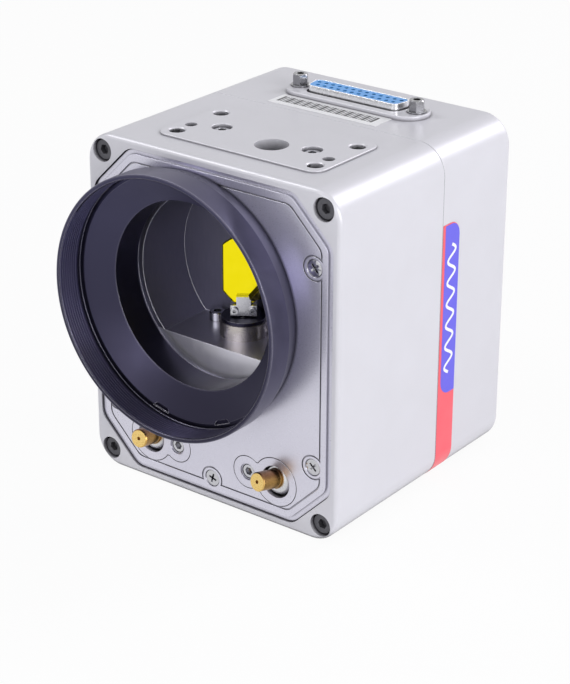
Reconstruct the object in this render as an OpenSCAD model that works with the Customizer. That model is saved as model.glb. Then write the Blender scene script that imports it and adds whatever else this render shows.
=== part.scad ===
// Two-axis galvo scanner head: a beam comes down through the hole in the top,
// meets the mirror of the lying scanner, then the mirror of the standing
// scanner, and leaves forwards through the lens ring.
// Sizes are millimetres. Inside head(), x = 0 is the middle of the case,
// y = 0 its front face, y grows to the rear and z = 0 is its underside.

/* [Case] */
// Width across the two sides
case_w = 100; // [99:0.5:106]
// Height from underside to top
case_h = 117.5; // [116:0.5:124]
// Depth from front face to rear face
case_d = 94; // [92:0.5:110]
// Radius of the four long edges
edge_r = 10; // [8:0.5:12]
// Depth of the front housing, up to the seam
seam_y = 55.2; // [54.8:0.2:57]
// Thickness of the sides and the underside
side_wall = 5; // [4:0.5:6]
// Thickness of the top, bottom and rear walls
top_wall = 7; // [6.5:0.25:7.5]
// Thickness of the wall behind the front plate
front_wall = 8; // [7:0.5:9]
// Rounding of the case's front and rear edges
edge_f = 1.5; // [0.5:0.25:2.5]

/* [Front plate] */
// Thickness of the front plate
plate_t = 3; // [2.5:0.25:4]
// Inset of the plate's pocket from the case's outline
pocket_inset = 2.5; // [2.2:0.1:3]
// Width of the shallow step around the plate
step_w = 2; // [1.5:0.25:2.5]
// Depth of that step
step_depth = 0.8; // [0.5:0.1:1.2]
// Width of the trim groove
groove_w = 0.5; // [0.4:0.1:0.8]
// Depth of the trim groove
groove_depth = 0.4; // [0.3:0.1:0.8]
// Distance of the plate's corner screws from the case's sides
plate_screw_in = 9.5; // [9:0.25:10]
// Distance of those screws from the case's top and underside
plate_screw_up = 25.35; // [23:0.05:28]

/* [Lens ring] */
// Sideways place of the lens axis
lens_x = -8; // [-9:0.5:-7]
// Distance of the lens axis below the top
beam_drop = 47.1; // [46:0.1:48]
// Outer diameter of the ring
ring_d = 88; // [87.5:0.5:92]
// Outer diameter at the ring's foot
ring_foot_d = 83.6; // [80:0.4:86]
// How far the ring stands out of the front plate
ring_h = 14.7; // [14:0.1:18]
// Diameter over the crests of the M85x1 lens thread
thread_d = 83.92; // [80:0.02:84.2]
// Length of the lens thread
thread_len = 8.2; // [6:0.1:9]
// Diameter of the window that the beam leaves by
window_d = 63; // [58:0.5:64]

/* [Pointers] */
// Distance of each pointer from the case's side
pointer_in = 24.1; // [23:0.1:25]
// Height of the pointers above the underside
pointer_z = 15.5; // [15:0.1:17]
// Diameter of the brass pointer
pointer_d = 6.2; // [5:0.1:6.6]
// Length of the pointer in front of its ball's centre
pointer_reach = 13.1; // [11:0.1:16]
// Diameter of the swivel ball
ball_d = 12; // [11.4:0.1:12.4]
// Upward tilt of the pointers
pointer_pitch = 12.3; // [8:0.1:14]
// Inward tilt of the pointers
pointer_yaw = 6; // [3:0.5:8]

/* [Scanners] */
// Distance between the two mirrors' axes
mirror_gap = 16; // [15:0.5:17]
// Sideways slant of the lying scanner
fold_angle = 18; // [15:1:20]
// Place of the standing scanner's axis behind the front face
mirror_y = 27; // [26:0.5:28]
// Diameter of a scanner's body
can_d = 16; // [15:0.5:17]
// Free room behind the scanners' tails
tail_room = 2.4; // [2:0.1:5]
// Diameter of a scanner's shaft
shaft_d = 3; // [2.5:0.25:3.5]
// Free gap between a turning part and its seat
run_clear = 0.05; // [0.02:0.01:0.1]
// Thickness of the mirrors
mirror_t = 1.6; // [1.2:0.1:2]
// Width of the standing scanner's mirror
mirror_w = 13.8; // [12:0.2:14.4]
// Depth of the ledge below the lens axis
ledge_drop = 21.8; // [21.4:0.2:22.4]

/* [Top] */
// Sideways middle of the mounting pad and of the connector
top_x = 2; // [0:0.5:3]
// Sideways spacing of the four mounting holes
mount_dx = 54.4; // [50:0.2:55]
// Front-to-back spacing of the four mounting holes
mount_dy = 22; // [20:0.2:24]
// Middle of the four mounting holes behind the front face
mount_y = 26.2; // [25:0.2:27]
// Diameter of the mounting holes, tapped M6
mount_hole_d = 5.2; // [5:0.1:6]
// Diameter of the locating pin holes
pin_hole_d = 4; // [3:0.1:5]
// Diameter of the beam's entrance
entry_d = 11; // [10:0.5:12]
// Height of the mounting pad above the top
pad_h = 0.7; // [0.5:0.1:1.2]

/* [Connector] */
// Distance between the connector's two jackscrews
jack_dx = 47.04; // [46:0.01:48]
// Middle of the connector behind the front face
connector_y = 75; // [74:0.5:78]
// Height of the raised land around the connector
land_h = 1.5; // [1:0.1:2]

/* [Hidden] */
$fn = 64;
tiny = 0.01;
film_t = 0.15;                       // thickness of the two printed films
fit_gap = 0.1;                       // gap of a part laid into its pocket
insert_gap = 0.25;                   // visible gap around the plate and its inserts
seam_f = 0.3;                        // rounding of both edges at the seam
pad_f = 0.35;                        // rounding of the raised faces on top
mid_z = case_h / 2;
beam_z = case_h - beam_drop;
box_left = min(-case_w / 2, lens_x - ring_d / 2);
box_right = case_w / 2 + film_t;
head_x = -(box_left + box_right) / 2;
head_y = -(case_d - ring_h) / 2;

// outlines, measured from the middle of the case: half width, half height, sum
pocket_hx = case_w / 2 - pocket_inset;
pocket_hz = case_h / 2 - pocket_inset - 0.25;
pocket_sum = pocket_hx + pocket_hz - 14.8;
plate_r = 6;
trim_in = 4.3;                       // trim groove's distance inside the pocket
trim_sum_in = 6;
notch_r = 4;
cavity_hx = case_w / 2 - side_wall;
cavity_hz = case_h / 2 - top_wall + 0.5;
cavity_sum = cavity_hx + cavity_hz - 10.5;
wall_y = plate_t + front_wall;       // inner face of the front wall

// corner bolts
bolt_x = case_w / 2 - 6.3;
bolt_z = mid_z - 5.95;
bolt_bore_d = 7.7;
bolt_d = 4;
bolt_head_d = 7;
bolt_head_y = 1.2;
bolt_seat_y = 5.2;
bolt_end_y = seam_y + 20;

// holes from the top
mount_hole_depth = 6.2;
pin_hole_depth = 5;

// plate screws, M3 with flat heads
m3_d = 3;
flat_head_d = 5.6;
flat_head_h = 1.65;
sink = 0.2;                          // screw heads sit this far below a face
plate_screw_len = 9;
plate_screw_low_z = 8.45;            // the screw on the middle line
plate_screw_corners = [[1, 1], [1, -1], [-1, -1]];      // the ring covers the fourth
plate_screw_x = case_w / 2 - plate_screw_in;
plate_screw_z = mid_z - plate_screw_up;

// ring
ring_grip_h = 8.5;                   // straight part of the ring's outside
relief_r = thread_d / 2 + 0.6;
thread_y0 = -ring_h + 0.5;
thread_y1 = thread_y0 + thread_len;
relief_end_y = thread_y1 + 1.4;
seat_r = thread_d / 2 - 0.8;
spigot_d = window_d + 3.6;
spigot_end_y = wall_y - 0.2;
window_lip_y = 0;
cone_slope = (window_lip_y - relief_end_y) / (seat_r - window_d / 2);
ring_screw_r = ring_foot_d / 2 - 2.4;
ring_screw_d = 2.5;
ring_screw_head_d = 4.4;
ring_screw_head_h = 1.4;
ring_screw_head_y = plate_t - 0.1;
ring_screw_end_y = window_lip_y + 0.6 -
    (ring_screw_r - ring_screw_d / 2 - window_d / 2) * cone_slope;
ring_screw_split = 18;               // each screw's angle from its pair's middle
ring_turn = 5;                       // the pairs' middles from straight up and down
wrench_notch_d = 8;
wrench_notch_in = 1.6;
wrench_notch_depth = 0.5;

// pointers
pointer_x = case_w / 2 - pointer_in;
ball_y = 5;
socket_open_d = 11;
keyhole_big_r = 8.2;
keyhole_small_r = 5.5;
keyhole_shift = 11.2;                // from the pointer towards the middle
carrier_body_d = 15;
retainer_d = 13;
retainer_bore_d = 10.4;
retainer_y = ball_y + 3.1;
lock_d = 5;
lock_len = 8;
pointer_tail = 12;
ball_flat = 4.6;

// scanners: along each one's own axis, 0 is the beam and the body is at -
can_front = -16.6;
cover_t = 1.2;
cover_d = 15;
can_wall = 1.5;
bearing_d = 8;
bearing_w = 3;
cap_len = 8;
clamp_bottom = -14.8;
clamp_top = -8.2;
slot_bottom = -10.8;
mirror_angle_y = (90 - fold_angle) / 2;
mirror_angle_x = 45;
x_mirror_w = 14.4;
m1_x = lens_x + mirror_gap * cos(fold_angle);
m1_y = mirror_y - mirror_gap * sin(fold_angle);
tail_y = case_d - top_wall - tail_room - can_d / 2 * sin(fold_angle);
can_len = min((tail_y - m1_y) / cos(fold_angle), beam_z - side_wall - tail_room) + can_front - cap_len;

// scanner block
ledge_z = beam_z - ledge_drop;
block_back_y = seam_y - 1.2;
block_z0 = 30;
chamber_d = window_d - 1;
chamber_back_y = 34;
ledge_y = wall_y + 1.8;
post_d = 8;
post_y = 30.5;
post_x = [-22, 9];
block_screw_x = 17.9;                // each side of the top middle
block_screw_y = 26.2;
m3_head_d = 5.5;
m3_head_h = 3;
set_screw_len = 6;
x_set_y = block_back_y - 5;
x_set_s = (x_set_y - m1_y) / cos(fold_angle);
x_set_x = m1_x + x_set_s * sin(fold_angle);
y_set_z = ledge_z - 8.6;
y_seat_top = beam_z + can_front + cover_t + 0.6;

// driver boards, stacked on the left wall of the rear cover; each level's
// height is that of its standoffs' foot above the wall
board_t = 1.6;
standoff_h = [4, 13];
board_level = [0, standoff_h[0] + board_t];
board_y0 = seam_y + 2.8;
board_y1 = case_d - top_wall - 1;
board_h = 2 * cavity_hz - 26;
board_z0 = mid_z - board_h / 2;
board_z1 = mid_z + board_h / 2;
board_inset = 3.5;                   // of the four fixing holes
board_hole_d = 2.4;
standoff_d = 5;
m2_d = 2;
m2_head_d = 4;
m2_head_h = 1.4;
m2_len = 6;

// connector
shell_h = 2.2;                       // above the raised land
shell_w = 38.4;
shell_depth = 7.9;
shell_t = 0.4;
shell_corner_r = 2.2;
flange_w = jack_dx + 6;
flange_depth = 12.5;
land_w = jack_dx + 8;
land_d = 15;
panel_t = 3.6;                       // wall left over the connector's flange
land_top_z = case_h + land_h;
flange_z = land_top_z - panel_t;
jack_af = 4.75;
jack_h = 4.2;
jack_nut_d = 5.5 / cos(30);
jack_nut_h = 2.4;
contact_pitch = 2.77;
row_gap = 2.84;

// labels
label_w = 43.4;
label_d = 9.3;
label_x = top_x - 2.6;
label_y = connector_y - land_d / 2 - 0.2 - label_d;
sticker_w = 9.6;
sticker_top_z = 91;

// ---- helpers -------------------------------------------------------------

// moves the case's own coordinates to the middle of the bounding box
module head() {
    translate([head_x, head_y, 0]) children();
}

// extrudes an outline drawn in x and z from y0 to y1
module slab_y(y0, y1) {
    translate([0, y1, 0]) rotate([90, 0, 0]) linear_extrude(y1 - y0) children();
}

// round bar along y
module rod_y(d, y0, y1, x = 0, z = 0) {
    translate([x, y1, z]) rotate([90, 0, 0]) cylinder(d = d, h = y1 - y0);
}

// rectangle with round corners
module round_rect(w, h, r) {
    square([w - 2 * r, h], center = true);
    square([w, h - 2 * r], center = true);
    for (sx = [-1, 1], sz = [-1, 1]) {
        translate([sx * (w / 2 - r), sz * (h / 2 - r)]) circle(r);
    }
}

// the points of an octagon: half width hx, half height hz, slanted sides at
// |x| + |z| = s, corners rounded with radius r
function octo_corner(hx, hz, s) = [
    [hx, s - hx], [s - hz, hz], [hz - s, hz], [-hx, s - hx],
    [-hx, hx - s], [hz - s, -hz], [s - hz, -hz], [hx, hx - s]];
function octo_points(hx, hz, s, r, steps = 5) = [
    for (i = [0:7], k = [0:steps])
        let (a = 45 * i, p = octo_corner(hx, hz, s)[i], b = a + 45 * k / steps,
            n = [cos(a) + cos(a + 45), sin(a) + sin(a + 45)] / (1 + cos(45)))
        p - r * n + r * [cos(b), sin(b)]];

module octagon(hx, hz, s, r) {
    translate([0, mid_z]) polygon(octo_points(hx, hz, s, r));
}

// cutter that rounds the edge of a face with radius f: the face is a rectangle
// w by h with corners of radius r, its top at z = 0
module edge_section(f) {
    difference() {
        translate([0, -f]) square(f + 1);
        translate([0, -f]) circle(f);
    }
}

module edge_rounding(w, h, r, f) {
    for (side = [[0, w, h], [90, h, w], [180, w, h], [270, h, w]]) rotate([0, 0, side[0]]) {
        translate([side[1] / 2 - f, side[2] / 2 - r, 0]) {
            rotate([90, 0, 0]) linear_extrude(side[2] - 2 * r) edge_section(f);
            translate([f - r, 0, 0]) intersection() {
                rotate_extrude() translate([r - f, 0]) edge_section(f);
                translate([0, 0, -f - 1]) cube([r + 2, r + 2, f + 3]);
            }
        }
    }
}

// the frame of the lying scanner and of the standing one: z runs from the
// motor to the mirror and 0 is where the beam meets it
module x_frame() {
    head() translate([m1_x, m1_y, beam_z]) rotate([0, 0, -fold_angle]) rotate([90, 0, 0]) children();
}

module y_frame() {
    head() translate([lens_x, mirror_y, beam_z]) children();
}

// ---- case ----------------------------------------------------------------

module case_outline() {
    translate([0, mid_z]) round_rect(case_w, case_h, edge_r);
}

// rounds the case's outer edge at y; toward is 1 where the case lies behind y
module case_edge(y, toward, f) {
    translate([0, y, mid_z]) rotate([toward * 90, 0, 0]) edge_rounding(case_w, case_h, edge_r, f);
}

module cavity_outline(gap = 0) {
    octagon(cavity_hx - gap, cavity_hz - gap, cavity_sum - gap, 4);
}

module at_corners() {
    for (sx = [-1, 1], sz = [-1, 1]) translate([sx * bolt_x, 0, mid_z + sz * bolt_z]) children();
}

module at_plate_screws() {
    for (s = plate_screw_corners) {
        translate([s[0] * plate_screw_x, 0, mid_z + s[1] * plate_screw_z]) children();
    }
    translate([0, 0, plate_screw_low_z]) children();
}

module at_pointers() {
    for (sx = [-1, 1]) translate([sx * pointer_x, 0, pointer_z]) children();
}

module at_mount_holes() {
    for (sx = [-1, 1], sy = [-1, 1]) {
        translate([top_x + sx * mount_dx / 2, mount_y + sy * mount_dy / 2, 0]) children();
    }
}

module mounting_pad() {
    pad_w = 64.2;
    pad_y0 = 9.8;
    pad_y1 = 43.6;
    pad_r = 4.5;
    translate([top_x, (pad_y0 + pad_y1) / 2, case_h - tiny]) difference() {
        linear_extrude(pad_h + tiny) round_rect(pad_w, pad_y1 - pad_y0, pad_r);
        translate([0, 0, pad_h + tiny]) edge_rounding(pad_w, pad_y1 - pad_y0, pad_r, pad_f);
    }
}

// a drilled hole from the top with a small chamfer at its mouth
module top_hole(d, depth, chamfer) {
    top_z = case_h + pad_h;
    translate([0, 0, top_z - depth]) cylinder(d = d, h = depth + 1);
    translate([0, 0, top_z - chamfer]) cylinder(d1 = d, d2 = d + 2 * chamfer + 0.4, h = chamfer + 0.2);
}

module front_housing() {
    color("gainsboro") head() difference() {
        union() {
            slab_y(0, seam_y) case_outline();
            mounting_pad();
        }
        case_edge(0, 1, edge_f);
        case_edge(seam_y, -1, seam_f);
        slab_y(-1, plate_t) octagon(pocket_hx, pocket_hz, pocket_sum, plate_r);
        difference() {
            slab_y(wall_y, seam_y + 1) cavity_outline();
            for (x = post_x) translate([x, post_y, 0]) cylinder(d = post_d, h = block_z0);
        }
        for (x = post_x) translate([x, post_y, block_z0 - 8]) cylinder(d = m3_d, h = 9);
        rod_y(spigot_d + 2 * fit_gap, plate_t - 1, wall_y + 1, lens_x, beam_z);
        at_corners() {
            rod_y(bolt_bore_d, -1, bolt_seat_y);
            rod_y(bolt_d + 0.5, bolt_seat_y - 1, seam_y + 1);
        }
        at_plate_screws() rod_y(m3_d, 0, wall_y - 1);
        at_pointers() rod_y(carrier_body_d + 2 * fit_gap, 0, wall_y + 1);
        for (sx = [-1, 1]) rod_y(lock_d + 1, 0, wall_y - 1, sx * (pointer_x - keyhole_shift), pointer_z);
        at_mount_holes() top_hole(mount_hole_d, mount_hole_depth, 0.4);
        for (sx = [-1, 1]) translate([top_x + sx * mount_dx / 2, m1_y, case_h + pad_h - pin_hole_depth]) {
            cylinder(d = pin_hole_d, h = pin_hole_depth + 1);
        }
        for (sx = [-1, 1]) translate([top_x + sx * block_screw_x, block_screw_y, 0]) {
            top_hole(m3_head_d + 1.2, 4, 0.2);
            translate([0, 0, case_h - top_wall - 1]) cylinder(d = m3_d + 0.4, h = top_wall);
        }
        translate([m1_x, m1_y, case_h - top_wall - 1]) cylinder(d = entry_d, h = top_wall + 3);
    }
}

module rear_cover() {
    color("gainsboro") head() difference() {
        union() {
            slab_y(seam_y, case_d) case_outline();
            translate([top_x, connector_y, case_h - tiny]) difference() {
                linear_extrude(land_h + tiny) round_rect(land_w, land_d, land_d / 2 - 0.1);
                translate([0, 0, land_h + tiny]) edge_rounding(land_w, land_d, land_d / 2 - 0.1, pad_f);
            }
        }
        case_edge(seam_y, 1, seam_f);
        case_edge(case_d, -1, edge_f);
        slab_y(seam_y - 1, case_d - top_wall) cavity_outline();
        at_corners() rod_y(bolt_d, seam_y - 1, bolt_end_y + 1);
        translate([top_x, connector_y, 0]) {
            translate([-flange_w / 2 - 0.5, -flange_depth / 2 - 0.5, flange_z - 6]) {
                cube([flange_w + 1, flange_depth + 1, 6]);
            }
            translate([0, 0, flange_z - 1]) linear_extrude(panel_t + 2) d_outline(0.9);
            for (sx = [-1, 1]) translate([sx * jack_dx / 2, 0, flange_z - 1]) {
                cylinder(d = m3_d + 0.2, h = panel_t + 2);
            }
        }
        at_board_holes(0) translate([0, 0, -3]) cylinder(d = m2_d, h = 4);
    }
}

module hex_key_hole(af, depth) {
    translate([0, 0, -depth]) cylinder(d = af / cos(30), h = depth + 1, $fn = 6);
}

module housing_bolts() {
    color("dimgray") head() at_corners() difference() {
        union() {
            rod_y(bolt_head_d, bolt_head_y, bolt_seat_y);
            rod_y(bolt_d, bolt_seat_y - tiny, bolt_end_y);
        }
        translate([0, bolt_head_y, 0]) rotate([90, 0, 0]) hex_key_hole(3, 2);
    }
}

// ---- front plate ---------------------------------------------------------

module keyhole(side, grow = 0) {
    translate([side * pointer_x, pointer_z]) {
        circle(keyhole_big_r + grow);
        translate([-side * keyhole_shift, 0]) circle(keyhole_small_r + grow);
        translate([-side * 7.6, 0]) square([4, 8.8 + 2 * grow], center = true);
    }
}

module trim_outline(grow) {
    difference() {
        octagon(pocket_hx - trim_in + grow, pocket_hz - trim_in + grow,
            pocket_sum - trim_sum_in + grow * 1.414, plate_r - 1.5);
        for (s = plate_screw_corners) {
            translate([s[0] * plate_screw_x, mid_z + s[1] * plate_screw_z]) circle(notch_r - grow);
        }
        translate([0, plate_screw_low_z]) circle(notch_r - grow);
    }
}

module front_plate() {
    color("silver") head() difference() {
        union() {
            slab_y(step_depth, plate_t) {
                octagon(pocket_hx - insert_gap, pocket_hz - insert_gap,
                    pocket_sum - insert_gap * 1.414, plate_r);
            }
            slab_y(0, plate_t) {
                octagon(pocket_hx - step_w, pocket_hz - step_w + 0.4, pocket_sum - step_w * 1.414, plate_r - 1);
            }
        }
        slab_y(-1, groove_depth) difference() {
            trim_outline(groove_w / 2);
            trim_outline(-groove_w / 2);
        }
        rod_y(spigot_d + fit_gap, -1, plate_t + 1, lens_x, beam_z);
        at_plate_screws() flat_head_cut();
        for (side = [-1, 1]) slab_y(-1, plate_t + 1) keyhole(side, insert_gap);
        at_ring_screws() {
            rod_y(ring_screw_d + 0.4, -1, plate_t + 1);
            translate([0, ring_screw_head_y, 0]) rotate([90, 0, 0]) {
                cylinder(d1 = ring_screw_head_d + 0.3, d2 = ring_screw_d + 0.3, h = ring_screw_head_h);
            }
            rod_y(ring_screw_head_d + 0.3, ring_screw_head_y - tiny, plate_t + 1);
        }
    }
}

// seat for a flat-head screw: cone with a short parallel mouth
module flat_head_cut() {
    rod_y(m3_d + 0.4, 0, plate_t + 1);
    rod_y(flat_head_d + 0.3, -1, sink);
    translate([0, sink + flat_head_h, 0]) rotate([90, 0, 0]) {
        cylinder(d1 = m3_d + 0.3, d2 = flat_head_d + 0.3, h = flat_head_h);
    }
}

module plate_screws() {
    color("lightgray") head() at_plate_screws() difference() {
        union() {
            translate([0, sink + flat_head_h, 0]) rotate([90, 0, 0]) {
                cylinder(d1 = m3_d, d2 = flat_head_d, h = flat_head_h);
            }
            rod_y(m3_d, sink + flat_head_h - tiny, sink + plate_screw_len);
        }
        for (a = [20, 110]) translate([0, sink, 0]) rotate([0, a, 0]) {
            translate([-1.6, -1, -0.3]) cube([3.2, 2, 0.6]);
        }
    }
}

// ---- lens ring -----------------------------------------------------------

// a pair at the top and a pair at the bottom, r from the lens's axis
module at_ring_pairs(r, pairs) {
    for (pair = pairs, s = [-1, 1]) {
        a = pair + ring_turn + s * ring_screw_split;
        translate([lens_x + r * cos(a), 0, beam_z + r * sin(a)]) children();
    }
}

module at_ring_screws() {
    at_ring_pairs(ring_screw_r, [90, 270]) children();
}

// shallow notches in the rim of the cone that a wrench takes
module wrench_notches() {
    reach = wrench_notch_d / 2 - wrench_notch_in;
    intersection() {
        rod_y(2 * seat_r + 0.4, relief_end_y - 1, relief_end_y + wrench_notch_depth, lens_x, beam_z);
        at_ring_pairs(seat_r + reach, [270]) rod_y(wrench_notch_d, relief_end_y - 2, 0);
    }
}

// profile in radius and distance in front of the plate
module lens_ring() {
    r_out = ring_d / 2;
    color("#2e2c3f") head() difference() {
        translate([lens_x, 0, beam_z]) rotate([90, 0, 0]) rotate_extrude($fn = 96) polygon([
            [window_d / 2, -spigot_end_y], [spigot_d / 2, -spigot_end_y], [spigot_d / 2, 0],
            [ring_foot_d / 2, 0], [r_out, ring_h - ring_grip_h], [r_out, ring_h - 0.4], [r_out - 0.4, ring_h],
            [thread_d / 2 + 0.5, ring_h], [thread_d / 2, -thread_y0], [thread_d / 2, -thread_y1],
            [relief_r, -thread_y1 - 0.2], [relief_r, -relief_end_y],
            [seat_r, -relief_end_y], [window_d / 2, -window_lip_y]]);
        at_ring_screws() rod_y(ring_screw_d, ring_screw_end_y, plate_t + 1);
        wrench_notches();
    }
}

// flat-head screws put in from behind the plate
module ring_screws() {
    color("#26252e") head() at_ring_screws() difference() {
        union() {
            translate([0, ring_screw_head_y, 0]) rotate([90, 0, 0]) {
                cylinder(d1 = ring_screw_head_d, d2 = ring_screw_d, h = ring_screw_head_h);
            }
            rod_y(ring_screw_d, ring_screw_end_y, ring_screw_head_y - ring_screw_head_h + tiny);
        }
        translate([0, ring_screw_head_y, 0]) rotate([-90, 0, 0]) hex_key_hole(1.5, 0.8);
    }
}

// ---- pointers ------------------------------------------------------------

// keyhole-shaped insert with the ball's seat and the lock screw's thread
module pointer_carrier(side) {
    head() difference() {
        union() {
            slab_y(0, plate_t) keyhole(side);
            rod_y(carrier_body_d, plate_t - tiny, wall_y, side * pointer_x, pointer_z);
        }
        translate([side * pointer_x, ball_y, pointer_z]) {
            sphere(d = ball_d + 2 * run_clear, $fn = 64);
            rod_y(ball_d + 2 * run_clear, 0, wall_y);
            rod_y(socket_open_d, -ball_y - 1, 0);
        }
        rod_y(retainer_d, retainer_y, wall_y + 1, side * pointer_x, pointer_z);
        lock_x = side * (pointer_x - keyhole_shift);
        rod_y(lock_d, -1, plate_t + 1, lock_x, pointer_z);
        rod_y(lock_d + 0.8, -1, 0.5, lock_x, pointer_z);
    }
}

module pointer_carrier_left() {
    color("silver") pointer_carrier(-1);
}

module pointer_carrier_right() {
    color("silver") pointer_carrier(1);
}

module ball_retainers() {
    color("dimgray") head() at_pointers() difference() {
        rod_y(retainer_d, retainer_y, wall_y - 0.5);
        rod_y(retainer_bore_d, retainer_y - 1, wall_y + 1);
    }
}

// frame of a pointer: z runs out of the front along the pointer, 0 is the ball
module pointer_frame(side) {
    head() translate([side * pointer_x, ball_y, pointer_z]) {
        rotate([0, 0, -side * pointer_yaw]) rotate([90 - pointer_pitch, 0, 0]) children();
    }
}

module pointer_ball(side) {
    pointer_frame(side) difference() {
        intersection() {
            sphere(d = ball_d, $fn = 64);
            translate([0, 0, -ball_flat]) cylinder(d = ball_d + 2, h = 2 * ball_flat);
        }
        translate([0, 0, -ball_d]) cylinder(d = pointer_d, h = 2 * ball_d);
    }
}

module pointer(side) {
    pointer_frame(side) difference() {
        translate([0, 0, -pointer_tail]) cylinder(d = pointer_d, h = pointer_tail + pointer_reach);
        translate([0, 0, pointer_reach - 1.5]) cylinder(d = 1.3, h = 2);
    }
}

module pointer_ball_left() {
    color("lightgray") pointer_ball(-1);
}

module pointer_ball_right() {
    color("lightgray") pointer_ball(1);
}

module pointer_left() {
    color("#c99a3b") pointer(-1);
}

module pointer_right() {
    color("#c99a3b") pointer(1);
}

module pointer_lock_screws() {
    color("#3a3a40") head() for (side = [-1, 1]) {
        translate([side * (pointer_x - keyhole_shift), 0, pointer_z]) difference() {
            rod_y(lock_d, 0.6, lock_len);
            translate([0, 0.6, 0]) rotate([90, 0, 0]) hex_key_hole(2.5, 2);
        }
    }
}

// ---- scanner block -------------------------------------------------------

module scanner_block() {
    color("#8a8a92") head() difference() {
        slab_y(wall_y, block_back_y) intersection() {
            cavity_outline(fit_gap);
            translate([-case_w / 2, block_z0]) square([case_w, case_h]);
        }
        // the round chamber in front of the mirrors, down to the ledge
        intersection() {
            rod_y(chamber_d, wall_y - 1, chamber_back_y, lens_x, beam_z);
            translate([-case_w / 2, 0, ledge_z]) cube([case_w, case_d, case_h]);
        }
        rod_y(chamber_d + 4, wall_y - 1, ledge_y, lens_x, beam_z);
        // seats of the two scanners
        translate([lens_x, mirror_y, block_z0 - 1]) cylinder(d = can_d, h = y_seat_top - block_z0 + 1);
        translate([m1_x, m1_y, beam_z]) rotate([0, 0, -fold_angle]) rotate([-90, 0, 0]) {
            translate([0, 0, 6]) cylinder(d = can_d, h = case_d);
        }
        // way in for the beam
        translate([m1_x, m1_y, beam_z]) cylinder(d = entry_d + 1, h = case_h);
        // pocket behind, over the standing scanner's seat, for the wiring
        translate([-case_w / 2 + 12, chamber_back_y + 6, ledge_z]) {
            cube([case_w / 2 - 10, block_back_y, case_h - ledge_z - 14]);
        }
        for (sx = [-1, 1]) translate([top_x + sx * block_screw_x, block_screw_y, case_h - top_wall - 8]) {
            cylinder(d = m3_d, h = 10);
        }
        for (x = post_x) translate([x, post_y, 0]) cylinder(d = m3_d + 0.4, h = case_h / 2);
        translate([x_set_x, x_set_y, beam_z]) cylinder(d = m3_d, h = case_h);
        rod_y(m3_d, mirror_y, case_d, lens_x, y_set_z);
    }
}

// cap screws from the top and down through the ledge
module cap_screw(length) {
    difference() {
        union() {
            cylinder(d = m3_head_d, h = m3_head_h);
            translate([0, 0, -length]) cylinder(d = m3_d, h = length + tiny);
        }
        translate([0, 0, m3_head_h]) hex_key_hole(2.5, 1.6);
    }
}

module block_screws() {
    color("silver") head() {
        for (sx = [-1, 1]) {
            translate([top_x + sx * block_screw_x, block_screw_y, case_h + pad_h - 4]) cap_screw(9);
        }
        for (x = post_x) translate([x, post_y, ledge_z]) cap_screw(ledge_z - block_z0 + 7);
    }
}

module motor_set_screws() {
    color("#3a3a40") head() {
        translate([x_set_x, x_set_y, beam_z + can_d / 2]) difference() {
            cylinder(d = m3_d, h = set_screw_len);
            translate([0, 0, set_screw_len]) hex_key_hole(1.5, 2);
        }
        translate([lens_x, mirror_y + can_d / 2, y_set_z]) rotate([-90, 0, 0]) difference() {
            cylinder(d = m3_d, h = set_screw_len);
            translate([0, 0, set_screw_len]) hex_key_hole(1.5, 2);
        }
    }
}

// ---- one scanner ---------------------------------------------------------

can_rear = can_front - can_len;
bore_rear = can_rear + bearing_w + 1.5;

module motor_can() {
    difference() {
        translate([0, 0, can_rear]) cylinder(d = can_d, h = can_len);
        translate([0, 0, can_rear - 1]) cylinder(d = can_d - 2 * can_wall, h = can_len - 3);
        translate([0, 0, can_rear]) cylinder(d = bearing_d, h = can_len + 1);
    }
}

module coil() {
    translate([0, 0, bore_rear]) difference() {
        cylinder(d = can_d - 2 * can_wall, h = can_len - bearing_w - 5.5);
        translate([0, 0, -1]) cylinder(d = 9.4, h = can_len);
    }
}

module bearings() {
    for (z = [can_front - bearing_w, can_rear]) translate([0, 0, z]) difference() {
        cylinder(d = z == can_rear ? can_d - 2 * can_wall : bearing_d, h = bearing_w);
        translate([0, 0, -1]) cylinder(d = shaft_d + 2 * run_clear, h = bearing_w + 2);
    }
}

module front_cover() {
    translate([0, 0, can_front]) difference() {
        cylinder(d = cover_d, h = cover_t);
        translate([0, 0, -1]) cylinder(d = 5, h = cover_t + 2);
    }
}

module detector_cap() {
    difference() {
        translate([0, 0, can_rear - cap_len]) cylinder(d = can_d, h = cap_len);
        translate([0, 0, can_rear - cap_len + 1.5]) cylinder(d = can_d - 2 * can_wall, h = cap_len);
    }
}

module shaft() {
    translate([0, 0, can_rear - 4.5]) cylinder(d = shaft_d, h = clamp_top - 2.8 - can_rear + 4.5);
}

module magnet() {
    translate([0, 0, bore_rear + 1.5]) difference() {
        cylinder(d = 8, h = can_len - bearing_w - 9);
        translate([0, 0, -1]) cylinder(d = shaft_d, h = can_len);
    }
}

module detector_vane() {
    translate([0, 0, can_rear - 3.5]) difference() {
        union() {
            cylinder(d = 5, h = 1.6);
            intersection() {
                cylinder(d = 10.4, h = 0.8);
                translate([-6, -2.2, 0]) cube([12, 4.4, 1]);
            }
        }
        translate([0, 0, -1]) cylinder(d = shaft_d, h = 4);
    }
}

// two jaws around the shaft below and the mirror above, drawn for a mirror
// that lies in the x-z plane
clamp_w = 8.6;
tongue_w = 4.8;
jaw_t = 1.7;
clamp_screw_x = 3;
clamp_screw_z = clamp_bottom + 1.8;

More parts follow.
